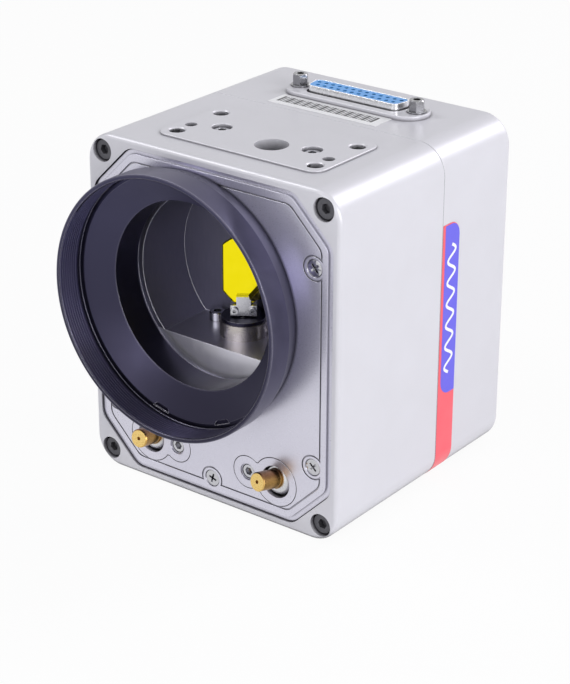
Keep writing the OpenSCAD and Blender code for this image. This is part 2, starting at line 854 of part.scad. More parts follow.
module mirror_clamp(angle) {
    rotate([0, 0, angle]) difference() {
        union() {
            translate([-clamp_w / 2, -mirror_t / 2 - jaw_t, clamp_bottom]) {
                cube([clamp_w, mirror_t + 2 * jaw_t, 3.6]);
            }
            translate([-tongue_w / 2, -mirror_t / 2 - jaw_t, clamp_bottom]) {
                cube([tongue_w, mirror_t + 2 * jaw_t, clamp_top - clamp_bottom]);
            }
        }
        translate([-clamp_w, -mirror_t / 2, slot_bottom]) cube([2 * clamp_w, mirror_t, clamp_w]);
        translate([0, 0, clamp_bottom - 1]) cylinder(d = shaft_d, h = slot_bottom - clamp_bottom + 1);
        for (sx = [-1, 1]) translate([sx * clamp_screw_x, -5, clamp_screw_z]) {
            rotate([-90, 0, 0]) cylinder(d = 1.2, h = 10);
        }
    }
}

module clamp_screws(angle, side) {
    rotate([0, 0, angle]) for (sx = [-1, 1]) {
        translate([sx * clamp_screw_x, side * (mirror_t / 2 + jaw_t), clamp_screw_z]) {
            rotate([-side * 90, 0, 0]) difference() {
                union() {
                    cylinder(d = 2.5, h = 0.9);
                    translate([0, 0, -4]) cylinder(d = 1.2, h = 4 + tiny);
                }
                translate([0, 0, 0.9]) hex_key_hole(1, 0.5);
            }
        }
    }
}

// mirror blank with its corners cut, w wide, from z = low to z = high
module mirror_blank(angle, w, low, high, foot_w, top_w, chamfer_low, chamfer_high) {
    rotate([0, 0, angle]) translate([0, mirror_t / 2, 0]) rotate([90, 0, 0]) linear_extrude(mirror_t) {
        polygon([[-foot_w / 2, low], [foot_w / 2, low], [w / 2, low + chamfer_low],
            [w / 2, high - chamfer_high], [top_w / 2, high], [-top_w / 2, high],
            [-w / 2, high - chamfer_high], [-w / 2, low + chamfer_low]]);
    }
}

module x_motor_can() {
    color("#b9b4ad") x_frame() motor_can();
}

module x_coil() {
    color("#b4623a") x_frame() coil();
}

module x_bearings() {
    color("silver") x_frame() bearings();
}

module x_front_cover() {
    color("#202024") x_frame() front_cover();
}

module x_detector_cap() {
    color("#202024") x_frame() detector_cap();
}

module x_shaft() {
    color("lightgray") x_frame() shaft();
}

module x_magnet() {
    color("dimgray") x_frame() magnet();
}

module x_detector_vane() {
    color("#303036") x_frame() detector_vane();
}

module x_mirror_clamp() {
    color("silver") x_frame() mirror_clamp(mirror_angle_x);
}

module x_clamp_screws() {
    color("gray") x_frame() clamp_screws(mirror_angle_x, 1);
}

module x_mirror() {
    color("#f2e300") x_frame() mirror_blank(mirror_angle_x, x_mirror_w, slot_bottom, 6.4, 6.8, 10, 4.2, 2);
}

module y_motor_can() {
    color("#b9b4ad") y_frame() motor_can();
}

module y_coil() {
    color("#b4623a") y_frame() coil();
}

module y_bearings() {
    color("silver") y_frame() bearings();
}

module y_front_cover() {
    color("#202024") y_frame() front_cover();
}

module y_detector_cap() {
    color("#202024") y_frame() detector_cap();
}

module y_shaft() {
    color("lightgray") y_frame() shaft();
}

module y_magnet() {
    color("dimgray") y_frame() magnet();
}

module y_detector_vane() {
    color("#303036") y_frame() detector_vane();
}

module y_mirror_clamp() {
    color("silver") y_frame() mirror_clamp(mirror_angle_y);
}

module y_clamp_screws() {
    color("gray") y_frame() clamp_screws(mirror_angle_y, -1);
}

module y_mirror() {
    color("#f2e300") y_frame() mirror_blank(mirror_angle_y, mirror_w, slot_bottom, 12, 6.8, 6.6, 4.1, 2.6);
}

// ---- driver boards -------------------------------------------------------

// the four fixing holes, at the foot of one level's standoffs: z is the height
// above it, level 0 is the lower board and 1 the upper one
module at_board_holes(level) {
    for (y = [board_y0 + board_inset, board_y1 - board_inset]) {
        for (z = [board_z0 + board_inset, board_z1 - board_inset]) {
            translate([-cavity_hx + board_level[level], y, z]) rotate([0, 90, 0]) children();
        }
    }
}

module driver_board(level) {
    head() difference() {
        translate([-cavity_hx + board_level[level] + standoff_h[level], board_y0, board_z0]) {
            cube([board_t, board_y1 - board_y0, board_h]);
        }
        at_board_holes(level) cylinder(d = board_hole_d, h = standoff_h[level] + board_t + 1);
    }
}

// parts on the board's inner face: x is height above it, y and z run along it
module board_parts(level) {
    u = (board_y1 - board_y0) / 28;
    cap_d = 8 * u;
    cap_h = 7;
    chip = [1.8, 6 * u, 5];
    power = [4.4, 6 * u, 10];
    tab = [1.3, 3 * u, 4];
    header = [6, 5 * u, 16];
    socket = [6, 12 * u, 5];
    trimmer = 4.5 * u;
    mid_y = (board_y0 + board_y1) / 2;
    face_x = -cavity_hx + board_level[level] + standoff_h[level] + board_t;
    head() translate([face_x, mid_y, board_z0]) {
        // smoothing capacitors
        for (i = [0, 1]) translate([0, -5 * u, 12 + i * (cap_d + 2)]) {
            rotate([0, 90, 0]) cylinder(d = cap_d, h = cap_h);
        }
        // output transistors with their tabs
        for (i = [0, 1]) translate([0, 5 * u, 7 + i * (power[2] + 2)]) {
            cube(power);
            translate([0, power[1] - tiny, (power[2] - tab[2]) / 2]) cube(tab);
        }
        // servo amplifier chips
        for (i = [0:2]) translate([0, -7 * u, 36 + i * (chip[2] + 3)]) cube(chip);
        // pin header for the scanner's plug and another for the connector
        translate([0, 3 * u, 38]) cube(header);
        translate([0, -6 * u, 64]) cube(socket);
        // trimmers
        for (i = [0:2]) translate([0, -8 * u + i * (trimmer + 2.5 * u), 58]) cube(trimmer);
    }
}

module x_driver_board() {
    color("#1d5c3a") driver_board(1);
}

module y_driver_board() {
    color("#1d5c3a") driver_board(0);
}

module x_board_parts() {
    color("#2b2b30") board_parts(1);
}

module y_board_parts() {
    color("#2b2b30") board_parts(0);
}

module board_standoffs() {
    color("#c9a24a") head() {
        for (level = [0, 1]) at_board_holes(level) difference() {
            cylinder(d = standoff_d, h = standoff_h[level]);
            translate([0, 0, -1]) cylinder(d = m2_d, h = standoff_h[level] + 2);
        }
    }
}

// screws through the upper board, and studs through the lower one that join
// the two levels of standoffs
module board_screws() {
    color("silver") head() {
        at_board_holes(1) translate([0, 0, standoff_h[1] + board_t]) difference() {
            union() {
                cylinder(d = m2_head_d, h = m2_head_h);
                translate([0, 0, -m2_len]) cylinder(d = m2_d, h = m2_len + tiny);
            }
            for (a = [0, 90]) rotate([0, 0, a]) translate([-1.2, -0.25, 0.6]) cube([2.4, 0.5, 1]);
        }
        at_board_holes(0) translate([0, 0, -2.5]) cylinder(d = m2_d, h = standoff_h[0] + board_t + 5);
    }
}

// ---- connector -----------------------------------------------------------

// outline of a 25-way D shell: long side to the rear, ends slanted 10 degrees,
// corners of radius r
module d_outline(grow) {
    w = shell_w / 2 + grow;
    d = shell_depth / 2 + grow;
    r = shell_corner_r + grow;
    slant = 10;
    long_x = w - r * tan(slant) - r / cos(slant);
    short_x = w - (2 * d - r) * tan(slant) - r / cos(slant);
    corners = [[long_x, d - r, -slant, 90], [-long_x, d - r, 90, 180 + slant],
        [-short_x, r - d, 180 + slant, 270], [short_x, r - d, 270, 360 - slant]];
    steps = 6;
    polygon([for (c = corners, k = [0:steps]) let (a = c[2] + (c[3] - c[2]) * k / steps)
        [c[0] + r * cos(a), c[1] + r * sin(a)]]);
}

module at_connector() {
    head() translate([top_x, connector_y, 0]) children();
}

module connector_shell() {
    color("silver") at_connector() difference() {
        union() {
            translate([-flange_w / 2, -flange_depth / 2, flange_z - 1]) cube([flange_w, flange_depth, 1]);
            translate([0, 0, flange_z - tiny]) linear_extrude(panel_t + shell_h) d_outline(0);
        }
        translate([0, 0, flange_z - 2]) linear_extrude(panel_t + shell_h + 4) d_outline(-shell_t);
        for (sx = [-1, 1]) translate([sx * jack_dx / 2, 0, flange_z - 2]) cylinder(d = m3_d + 0.2, h = 4);
    }
}

module at_contacts() {
    for (i = [0:12]) translate([(i - 6) * contact_pitch, row_gap / 2, 0]) children();
    for (i = [0:11]) translate([(i - 5.5) * contact_pitch, -row_gap / 2, 0]) children();
}

module connector_insulator() {
    top_z = land_top_z + shell_h - 0.1;
    back_w = jack_dx - jack_nut_d - 1;
    color("#5aaafa") at_connector() difference() {
        union() {
            translate([0, 0, flange_z - 6]) linear_extrude(top_z - flange_z + 6) d_outline(-shell_t);
            translate([-back_w / 2, -5.5, flange_z - 6]) cube([back_w, 11, 5]);
        }
        at_contacts() translate([0, 0, flange_z - 7]) cylinder(d = 1.5, h = 20, $fn = 16);
    }
}

module connector_contacts() {
    color("#d9b24c") at_connector() at_contacts() translate([0, 0, flange_z - 9]) difference() {
        cylinder(d = 1.5, h = panel_t + 10, $fn = 16);
        translate([0, 0, panel_t + 5]) cylinder(d = 1.05, h = 8, $fn = 16);
    }
}

module jackscrews() {
    color("silver") at_connector() for (sx = [-1, 1]) translate([sx * jack_dx / 2, 0, land_top_z]) {
        difference() {
            union() {
                cylinder(d = 6.5, h = 0.5);
                intersection() {
                    cylinder(d = jack_af / cos(30), h = jack_h, $fn = 6);
                    cylinder(d1 = jack_af + 2 * jack_h, d2 = jack_af - 0.2, h = jack_h);
                }
                translate([0, 0, -panel_t - 4]) cylinder(d = m3_d, h = panel_t + 4 + tiny);
            }
            translate([0, 0, jack_h - 4]) cylinder(d = 2.4, h = 5);
        }
        translate([0, 0, -panel_t - 1 - jack_nut_h]) difference() {
            cylinder(d = jack_nut_d, h = jack_nut_h, $fn = 6);
            translate([0, 0, -1]) cylinder(d = m3_d, h = 5);
        }
    }
}

// ---- labels --------------------------------------------------------------

module top_label() {
    color("whitesmoke") head() translate([label_x - label_w / 2, label_y, case_h]) {
        cube([label_w, label_d, film_t]);
    }
}

// strip down the right side just behind the seam, ending where the long edge
// starts to turn under
module side_sticker() {
    color("#ff6a73") head() translate([case_w / 2, seam_y + 0.2, edge_r]) {
        cube([film_t, sticker_w, sticker_top_z - edge_r]);
    }
}

front_housing();
rear_cover();
housing_bolts();
front_plate();
plate_screws();
lens_ring();
ring_screws();
pointer_carrier_left();
pointer_carrier_right();
ball_retainers();
pointer_ball_left();
pointer_ball_right();
pointer_left();
pointer_right();
pointer_lock_screws();
scanner_block();
block_screws();
motor_set_screws();
x_motor_can();
x_coil();
x_bearings();
x_front_cover();
x_detector_cap();
x_shaft();
x_magnet();
x_detector_vane();
x_mirror_clamp();
x_clamp_screws();
x_mirror();
y_motor_can();
y_coil();
y_bearings();
y_front_cover();
y_detector_cap();
y_shaft();
y_magnet();
y_detector_vane();
y_mirror_clamp();
y_clamp_screws();
y_mirror();
x_driver_board();
y_driver_board();
x_board_parts();
y_board_parts();
board_standoffs();
board_screws();
connector_shell();
connector_insulator();
connector_contacts();
jackscrews();
top_label();
side_sticker();
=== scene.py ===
from math import cos, pi, radians, sin, sqrt

import bmesh
import bpy
from mathutils import Matrix, Vector


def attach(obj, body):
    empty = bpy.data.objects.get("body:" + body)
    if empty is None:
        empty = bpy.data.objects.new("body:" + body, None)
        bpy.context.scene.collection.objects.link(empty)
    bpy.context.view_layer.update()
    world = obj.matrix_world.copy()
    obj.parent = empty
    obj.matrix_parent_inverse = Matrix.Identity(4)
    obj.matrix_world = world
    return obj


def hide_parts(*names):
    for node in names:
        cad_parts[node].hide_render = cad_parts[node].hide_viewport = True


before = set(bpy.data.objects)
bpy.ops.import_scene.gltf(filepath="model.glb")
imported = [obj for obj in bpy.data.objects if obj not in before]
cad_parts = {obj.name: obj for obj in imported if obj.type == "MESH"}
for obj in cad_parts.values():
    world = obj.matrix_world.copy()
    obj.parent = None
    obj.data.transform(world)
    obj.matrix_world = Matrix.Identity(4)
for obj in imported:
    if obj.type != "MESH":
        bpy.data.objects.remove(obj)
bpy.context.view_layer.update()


# ---- where the head stands and how it is lit ---------------------------------
# The head stands on a wide pale bench top in a pale room. A long lens looks at
# it from the right and a little above, and four soft lamps stand around it.

MM = 0.001
FRAME_X, FRAME_Y = 0.925, -39.65
CASE_SIDE_X, CASE_MIDDLE_Y, CASE_MIDDLE_Z, CASE_TOP_Z = 50, 47, 58.75, 117.5


def at(x, y, z):
    """A place in the case's own millimetres: x from its middle, y behind its front face, z up."""
    return Vector(((x + FRAME_X) * MM, (y + FRAME_Y) * MM, z * MM))


def stood(name, data):
    """A new object in the scene."""
    thing = bpy.data.objects.new(name, data)
    bpy.context.scene.collection.objects.link(thing)
    return thing


azimuth, elevation, lean = radians(37.378), radians(23.306), radians(0.2)
eye_far_mm, eye_left_mm, eye_down_mm = 692.05, 5.086, 5.532
away = Vector((sin(azimuth) * cos(elevation), -cos(azimuth) * cos(elevation), sin(elevation)))
side = Vector((0, 0, 1)).cross(away).normalized()
rise = away.cross(side)
side, rise = side * cos(lean) + rise * sin(lean), rise * cos(lean) - side * sin(lean)
eye_from_case = away * eye_far_mm - side * eye_left_mm - rise * eye_down_mm
eye = at(0, CASE_MIDDLE_Y, CASE_MIDDLE_Z) + eye_from_case * MM
lens = bpy.data.cameras.new("lens")
lens.lens = 109.77
lens.sensor_width = 36
lens.shift_y = -0.05
lens.clip_start, lens.clip_end = 0.05, 20
camera = stood("camera", lens)
camera.matrix_world = Matrix.Translation(eye) @ Matrix((side, rise, away)).transposed().to_4x4()
bpy.context.scene.camera = camera
bpy.context.scene.view_settings.view_transform = "Standard"


lit_middle = Vector((0, 0, 0.06))


def soft_lamp(name, place, width, height, power, colour=(1, 1, 1)):
    """A soft box that shines on the middle of the head."""
    lamp = bpy.data.lights.new(name, "AREA")
    lamp.shape = "RECTANGLE"
    lamp.size, lamp.size_y = width, height
    lamp.energy = power
    lamp.color = colour
    away = (Vector(place) - lit_middle).normalized()
    side = Vector((0, 0, 1)).cross(away).normalized()
    turn = Matrix((side, away.cross(side), away)).transposed().to_4x4()
    stood(name, lamp).matrix_world = Matrix.Translation(place) @ turn


soft_lamp("lamp_right", (1.21, -0.33, 0.42), 0.8, 0.7, 10.8)
soft_lamp("lamp_rear", (0.52, 0.95, 0.79), 0.45, 0.45, 5.4, (0.98, 0.96, 1.0))
soft_lamp("lamp_left", (-0.73, -0.52, 1.0), 0.5, 0.4, 4.7)
soft_lamp("lamp_front", (0.05, -1.2, 0.42), 0.8, 0.5, 3.3)


def new_finish(name, colour, roughness, metallic=0.0):
    """A material, its node tree, and its shader with the plain values set."""
    finish = bpy.data.materials.new(name)
    finish.use_nodes = True
    shader = finish.node_tree.nodes["Principled BSDF"]
    shader.inputs["Base Color"].default_value = (*colour, 1)
    shader.inputs["Roughness"].default_value = roughness
    shader.inputs["Metallic"].default_value = metallic
    return finish, finish.node_tree, shader


def maths(tree, operation, *values, kind="ShaderNodeMath", result=0):
    """The result of a sum; each value is plain or another node's output."""
    node = tree.nodes.new(kind)
    node.operation = operation
    for end, value in zip(node.inputs, values):
        if isinstance(value, bpy.types.NodeSocket):
            tree.links.new(value, end)
        else:
            end.default_value = value
    return node.outputs[result]


def in_plain_sight(tree):
    """1 for rays from the eye, off a gloss or through glass, and 0 for scattered light."""
    rays = tree.nodes.new("ShaderNodeLightPath").outputs
    direct = maths(tree, "MAXIMUM", rays["Is Camera Ray"], rays["Is Glossy Ray"])
    return maths(tree, "MAXIMUM", direct, rays["Is Transmission Ray"])


def shown_instead(tree, share, lit, shown, out):
    """Gives out the lit shader, and by the share the shown one."""
    either = tree.nodes.new("ShaderNodeMixShader")
    tree.links.new(share, either.inputs["Fac"])
    tree.links.new(lit.outputs[0], either.inputs[1])
    tree.links.new(shown.outputs[0], either.inputs[2])
    tree.links.new(either.outputs[0], tree.nodes[out].inputs["Surface"])


world = bpy.data.worlds.new("studio")
world.use_nodes = True
bpy.context.scene.world = world
sky = world.node_tree.nodes["Background"]
sky.inputs["Color"].default_value = (0.93, 0.94, 1.0, 1)
sky.inputs["Strength"].default_value = 0.25
wall = world.node_tree.nodes.new("ShaderNodeBackground")
wall.inputs["Color"].default_value = (1, 1, 1, 1)
shown_instead(world.node_tree, in_plain_sight(world.node_tree), sky, wall, "World Output")

bench_paint, tree, shader = new_finish("bench_paint", (0.86, 0.86, 0.87), 0.9)
shader.inputs["Specular IOR Level"].default_value = 0.1
white = tree.nodes.new("ShaderNodeEmission")
glow = maths(tree, "MULTIPLY", in_plain_sight(tree), 0.94)
shown_instead(tree, glow, shader, white, "Material Output")

bench = bpy.data.meshes.new("bench_top")
bench.from_pydata([(-6, -6, 0), (6, -6, 0), (6, 6, 0), (-6, 6, 0)], [], [(0, 1, 2, 3)])
bench.materials.append(bench_paint)
bench_top = stood("bench_top", bench)


# ---- front housing and rear cover --------------------------------------------
# Two cast aluminium shells, milled, finely blasted and painted satin silver
# grey. They meet at a thin seam and the rear one holds the driver boards.

def grain(tree, size_mm, stretch=(1, 1, 1), detail=2.0):
    """Noise with grains of that size; stretch above 1 draws it finer along an axis."""
    place = tree.nodes.new("ShaderNodeTexCoord")
    spread = tree.nodes.new("ShaderNodeMapping")
    spread.inputs["Scale"].default_value = stretch
    noise = tree.nodes.new("ShaderNodeTexNoise")
    noise.inputs["Scale"].default_value = 1 / (size_mm * MM)
    noise.inputs["Detail"].default_value = detail
    tree.links.new(place.outputs["Object"], spread.inputs["Vector"])
    tree.links.new(spread.outputs["Vector"], noise.inputs["Vector"])
    return noise.outputs["Fac"]


def between(tree, value, low, high, from_low=0.3, from_high=0.7):
    """The value moved into the range low to high."""
    ramp = tree.nodes.new("ShaderNodeMapRange")
    ramp.inputs["From Min"].default_value = from_low
    ramp.inputs["From Max"].default_value = from_high
    ramp.inputs["To Min"].default_value = low
    ramp.inputs["To Max"].default_value = high
    tree.links.new(value, ramp.inputs["Value"])
    return ramp.outputs["Result"]


def blend(tree, share, first, second):
    """From the first colour to the second by the share; each is plain or a node's output."""
    mix = tree.nodes.new("ShaderNodeMix")
    mix.data_type = "RGBA"
    tree.links.new(share, mix.inputs["Factor"])
    for end, colour in (("A", first), ("B", second)):
        if isinstance(colour, tuple):
            mix.inputs[end].default_value = (*colour, 1)
        else:
            tree.links.new(colour, mix.inputs[end])
    return mix.outputs["Result"]


def mottled(tree, value, dark, light, from_low=0.3, from_high=0.7):
    """A colour between two, as the value goes from low to high."""
    return blend(tree, between(tree, value, 0, 1, from_low, from_high), dark, light)


def painted_shade_in_corners(tree, colour, reach_mm, shade, closed=0.25, clear=0.85):
    """The colour, going over to a painted shade where other faces stand close around."""
    around = tree.nodes.new("ShaderNodeAmbientOcclusion")
    around.samples = 8
    around.inputs["Distance"].default_value = reach_mm * MM
    return mottled(tree, around.outputs["AO"], shade, colour, closed, clear)


def rounded_normal(tree, radius_mm):
    """The surface's normal as if its edges had that radius."""
    edge = tree.nodes.new("ShaderNodeBevel")
    edge.samples = 6
    edge.inputs["Radius"].default_value = radius_mm * MM
    return edge.outputs["Normal"]


def broken_edges(tree, shader, radius_mm, height, depth_mm, strength):
    """Edges broken by a file: a small radius in the light, over the surface's own relief."""
    relief = tree.nodes.new("ShaderNodeBump")
    relief.inputs["Strength"].default_value = strength
    relief.inputs["Distance"].default_value = depth_mm * MM
    tree.links.new(rounded_normal(tree, radius_mm), relief.inputs["Normal"])
    tree.links.new(height, relief.inputs["Height"])
    tree.links.new(relief.outputs["Normal"], shader.inputs["Normal"])


def settled(piece):
    """The piece, left as the plain mesh that its modifiers make of it."""
    view = bpy.context.evaluated_depsgraph_get()
    piece.data = bpy.data.meshes.new_from_object(piece.evaluated_get(view))
    piece.modifiers.clear()
    return piece


def smooth_skin(node, body, slot, finish):
    """The node's own shape, its loose triangles joined and shaded smooth between sharp edges."""
    skin = stood(node + "_skin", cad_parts[node].data.copy())
    shape = bmesh.new()
    shape.from_mesh(skin.data)
    bmesh.ops.remove_doubles(shape, verts=shape.verts, dist=2e-6)
    bmesh.ops.dissolve_degenerate(shape, edges=shape.edges, dist=1e-6)
    shape.to_mesh(skin.data)
    shape.free()
    return dressed(skin, body, slot, finish, 32, node)


def dressed(piece, body, slot, finish, sharp, *stands_for):
    """Smooth shading up to that sharp an angle, the finish, and the body that the piece rides on."""
    mesh = piece.data
    if mesh.has_custom_normals:
        with bpy.context.temp_override(object=piece, active_object=piece, selected_objects=[piece]):
            bpy.ops.mesh.customdata_custom_splitnormals_clear()
    mesh.shade_smooth()
    mesh.set_sharp_from_angle(angle=radians(sharp))
    flats = piece.modifiers.new("flats", "WEIGHTED_NORMAL")
    flats.keep_sharp = True
    flats.weight = 100
    settled(piece)
    piece.data.materials.clear()
    piece.data.materials.append(finish)
    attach(piece, body)
    if stands_for:
        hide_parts(*stands_for)
    return piece


def case_paint():
    finish, tree, shader = new_finish("case_paint", (0.64, 0.635, 0.68), 0.36, 0.16)
    blast = grain(tree, 0.35, detail=3)
    coat = mottled(tree, grain(tree, 18), (0.63, 0.625, 0.668), (0.65, 0.645, 0.692))
    # Painted shade: darker deep in holes and near tall parts, and again in the seam and other narrow gaps.
    shade_in_holes = painted_shade_in_corners(tree, coat, 14, (0.05, 0.048, 0.06), 0.2, 0.55)
    shade_in_gaps = painted_shade_in_corners(tree, shade_in_holes, 1.2, (0.10, 0.095, 0.11), 0.4, 0.92)
    tree.links.new(shade_in_gaps, shader.inputs["Base Color"])
    tree.links.new(between(tree, blast, 0.32, 0.42), shader.inputs["Roughness"])
    broken_edges(tree, shader, 0.12, blast, 0.012, 0.5)
    return finish


silver_paint = case_paint()
smooth_skin("front_housing", "head", "case_paint", silver_paint)
smooth_skin("rear_cover", "head", "case_paint", silver_paint)


# ---- corner bolts ------------------------------------------------------------
# Four long M4 socket bolts of blackened steel, sunk in the corners of the case,
# pull the front housing and the rear cover together at the seam.

def solid_of(name, shape):
    """A new object of the shape, its faces turned outwards."""
    bmesh.ops.recalc_face_normals(shape, faces=shape.faces)
    mesh = bpy.data.meshes.new(name)
    shape.to_mesh(mesh)
    shape.free()
    return stood(name, mesh)


def turned(name, profile, segments, closed=False):
    """A shape turned round the z axis from (radius, height) points in millimetres."""
    shape = bmesh.new()
    rings = []
    for radius, height in profile:
        if radius < 1e-6:
            rings.append([shape.verts.new((0, 0, height * MM))])
            continue
        rings.append([shape.verts.new((radius * MM * cos(2 * pi * k / segments),
                                       radius * MM * sin(2 * pi * k / segments), height * MM))
                      for k in range(segments)])
    pairs = list(zip(rings, rings[1:]))
    if closed:
        pairs.append((rings[-1], rings[0]))
    for first, second in pairs:
        for k in range(segments):
            corners = [first[k % len(first)], first[(k + 1) % len(first)],
                       second[(k + 1) % len(second)], second[k % len(second)]]
            corners = list(dict.fromkeys(corners))
            if len(corners) > 2:
                shape.faces.new(corners)
    return solid_of(name, shape)


def cut(piece, *tools, operation="DIFFERENCE"):
    """Cuts the tools out of the piece, or with INTERSECT trims it to them, and discards them."""
    for tool in tools:
        knife = piece.modifiers.new("cut", "BOOLEAN")
        knife.operation = operation
        knife.solver = "EXACT"
        knife.object = tool
    settled(piece)
    for tool in tools:
        bpy.data.objects.remove(tool)
    return piece


def new_tree(name, *inputs):
    """A geometry tree with those (name, kind) inputs, what it is given, and where its result goes."""
    tree = bpy.data.node_groups.new(name, "GeometryNodeTree")
    for label, kind in inputs:
        tree.interface.new_socket(name=label, in_out="INPUT", socket_type="NodeSocket" + kind)
    tree.interface.new_socket(name="Result", in_out="OUTPUT", socket_type="NodeSocketGeometry")
    return tree, tree.nodes.new("NodeGroupInput").outputs, tree.nodes.new("NodeGroupOutput").inputs[0]


def finished(tree, geometry, finish, result):
    """Gives the geometry out as a real mesh in its finish."""
    real = tree.nodes.new("GeometryNodeRealizeInstances")
    coat = tree.nodes.new("GeometryNodeSetMaterial")
    tree.links.new(geometry, real.inputs["Geometry"])
    tree.links.new(real.outputs[0], coat.inputs["Geometry"])
    tree.links.new(finish, coat.inputs["Material"])
    tree.links.new(coat.outputs[0], result)
    return tree


def set_out_tree():
    """Sets a fastener out at places, each turned a little differently, as a wrench leaves them."""
    tree, given, result = new_tree("set_out", ("Places", "Geometry"), ("Fastener", "Object"),
                                   ("Turn", "Vector"), ("Loose turn", "Float"), ("Seed", "Int"),
                                   ("Finish", "Material"))
    join = tree.links.new
    fastener = tree.nodes.new("GeometryNodeObjectInfo")
    stand = tree.nodes.new("GeometryNodeInstanceOnPoints")
    aim = tree.nodes.new("FunctionNodeEulerToRotation")
    chance = tree.nodes.new("FunctionNodeRandomValue")
    axis = tree.nodes.new("ShaderNodeCombineXYZ")
    twist = tree.nodes.new("FunctionNodeEulerToRotation")
    spin = tree.nodes.new("GeometryNodeRotateInstances")
    join(given["Fastener"], fastener.inputs["Object"])
    join(given["Places"], stand.inputs["Points"])
    join(fastener.outputs["Geometry"], stand.inputs["Instance"])
    join(given["Turn"], aim.inputs[0])
    join(aim.outputs[0], stand.inputs["Rotation"])
    low, high = [s for s in chance.inputs if s.type == "VALUE" and s.name in ("Min", "Max")][:2]
    join(maths(tree, "MULTIPLY", given["Loose turn"], -1), low)
    join(given["Loose turn"], high)
    join(given["Seed"], chance.inputs["Seed"])
    join([s for s in chance.outputs if s.type == "VALUE"][0], axis.inputs["Z"])
    join(axis.outputs[0], twist.inputs[0])
    join(stand.outputs[0], spin.inputs["Instances"])
    join(twist.outputs[0], spin.inputs["Rotation"])
    return finished(tree, spin.outputs[0], given["Finish"], result)


def grown(piece, tree, values):
    """The piece's mesh as the tree makes it from the named values, left as a plain mesh."""
    maker = piece.modifiers.new("maker", "NODES")
    maker.node_group = tree
    names = {s.name: s.identifier for s in tree.interface.items_tree if s.in_out == "INPUT"}
    for label, value in values.items():
        maker[names[label]] = value
    return settled(piece)


set_out = set_out_tree()


def fasteners(name, fastener, places, turn, seed, finish, loose=pi):
    """One piece of many fasteners, each turned by up to the loose angle round its own axis."""
    points = bpy.data.meshes.new(name)
    points.from_pydata([tuple(place) for place in places], [], [])
    row = grown(stood(name, points), set_out,
                {"Fastener": fastener, "Turn": turn, "Loose turn": loose, "Seed": seed, "Finish": finish})
    bpy.data.objects.remove(fastener)
    return row


def hexagon(across_flats, depth, top):
    """The room of a hexagon key, down from a screw's top."""
    corner = across_flats / 2 / cos(pi / 6)
    floor, mouth = top - depth, top + 1
    return turned("hex_key", [(0, floor), (corner, floor), (corner, mouth), (0, mouth)], 6)


def black_oxide():
    finish, tree, shader = new_finish("black_oxide", (0.10, 0.098, 0.11), 0.5, 0.5)
    wear = grain(tree, 0.9, detail=4)
    oxide = mottled(tree, wear, (0.088, 0.087, 0.098), (0.112, 0.111, 0.124))
    tree.links.new(oxide, shader.inputs["Base Color"])
    tree.links.new(between(tree, wear, 0.44, 0.56), shader.inputs["Roughness"])
    broken_edges(tree, shader, 0.12, wear, 0.01, 0.4)
    return finish


blackened = black_oxide()
facing_up, facing_front = (0, 0, 0), (pi / 2, 0, 0)
bolt = turned("bolt", [(0, -74), (2, -74), (2, -4), (3.5, -4), (3.5, -0.35), (3.2, 0), (0, 0)], 40)
cut(bolt, hexagon(3, 2, 0))
bolt_x, bolt_head_y, bolt_z = 43.7, 1.2, 52.8
bolt_places = [at(sx * bolt_x, bolt_head_y, CASE_MIDDLE_Z + sz * bolt_z)
               for sx in (-1, 1) for sz in (-1, 1)]
corner_bolts = fasteners("corner_bolts", bolt, bolt_places, facing_front, 3, blackened)
dressed(corner_bolts, "head", "black_steel", blackened, 32, "housing_bolts")


# ---- front plate -------------------------------------------------------------
# A 3 mm plate of clear-anodised aluminium laid in the front housing's pocket,
# with a milled step round it and a thin trim groove that bends round the screws.

def satin_plate():
    finish, tree, shader = new_finish("satin_plate", (0.64, 0.63, 0.71), 0.31, 0.78)
    blast = grain(tree, 0.22, detail=3)
    satin = mottled(tree, grain(tree, 22), (0.62, 0.61, 0.70), (0.66, 0.65, 0.74))
    # Painted shade in the trim groove, the step and other narrow gaps.
    tree.links.new(painted_shade_in_corners(tree, satin, 1.2, (0.05, 0.048, 0.06)), shader.inputs["Base Color"])
    tree.links.new(between(tree, blast, 0.26, 0.34), shader.inputs["Roughness"])
    broken_edges(tree, shader, 0.22, blast, 0.008, 0.4)
    return finish


plate_satin = satin_plate()
smooth_skin("front_plate", "head", "plate_alu", plate_satin)


# ---- plate screws ------------------------------------------------------------
# Four nickel-plated M3 screws with flat heads and a cross recess, sunk just
# below the plate's face.

def nickel_plate(name="nickel_plate", share=1.0):
    finish, tree, shader = new_finish(name, (0.53, 0.53, 0.56), 0.18, 1.0)
    rub = grain(tree, 0.25, detail=2)
    dark, light = [tuple(share * c for c in colour)
                   for colour in ((0.50, 0.50, 0.53), (0.56, 0.56, 0.59))]
    plating = mottled(tree, rub, dark, light)
    # Painted shade in the recesses and round the sunk heads.
    tree.links.new(painted_shade_in_corners(tree, plating, 0.7, (0.03, 0.03, 0.035)), shader.inputs["Base Color"])
    tree.links.new(between(tree, rub, 0.14, 0.22), shader.inputs["Roughness"])
    broken_edges(tree, shader, 0.08, rub, 0.002, 0.3)
    return finish


def slot_tool(turn, reach, width, depth):
    """One tapering arm of a screwdriver's cross, its mouth at height 0."""
    shape = bmesh.new()
    spin = Matrix.Rotation(turn, 3, "Z")
    top, floor = [[shape.verts.new(spin @ Vector((x * long, y * wide, height)) * MM)
                   for x, y in ((-1, -1), (1, -1), (1, 1), (-1, 1))]
                  for height, long, wide in ((0.4, reach * 1.08, width),
                                             (-depth, reach * 0.45, width * 0.6))]
    shape.faces.new(top)
    shape.faces.new(floor[::-1])
    for k in range(4):
        shape.faces.new((top[k], floor[k], floor[(k + 1) % 4], top[(k + 1) % 4]))
    return solid_of("slot", shape)


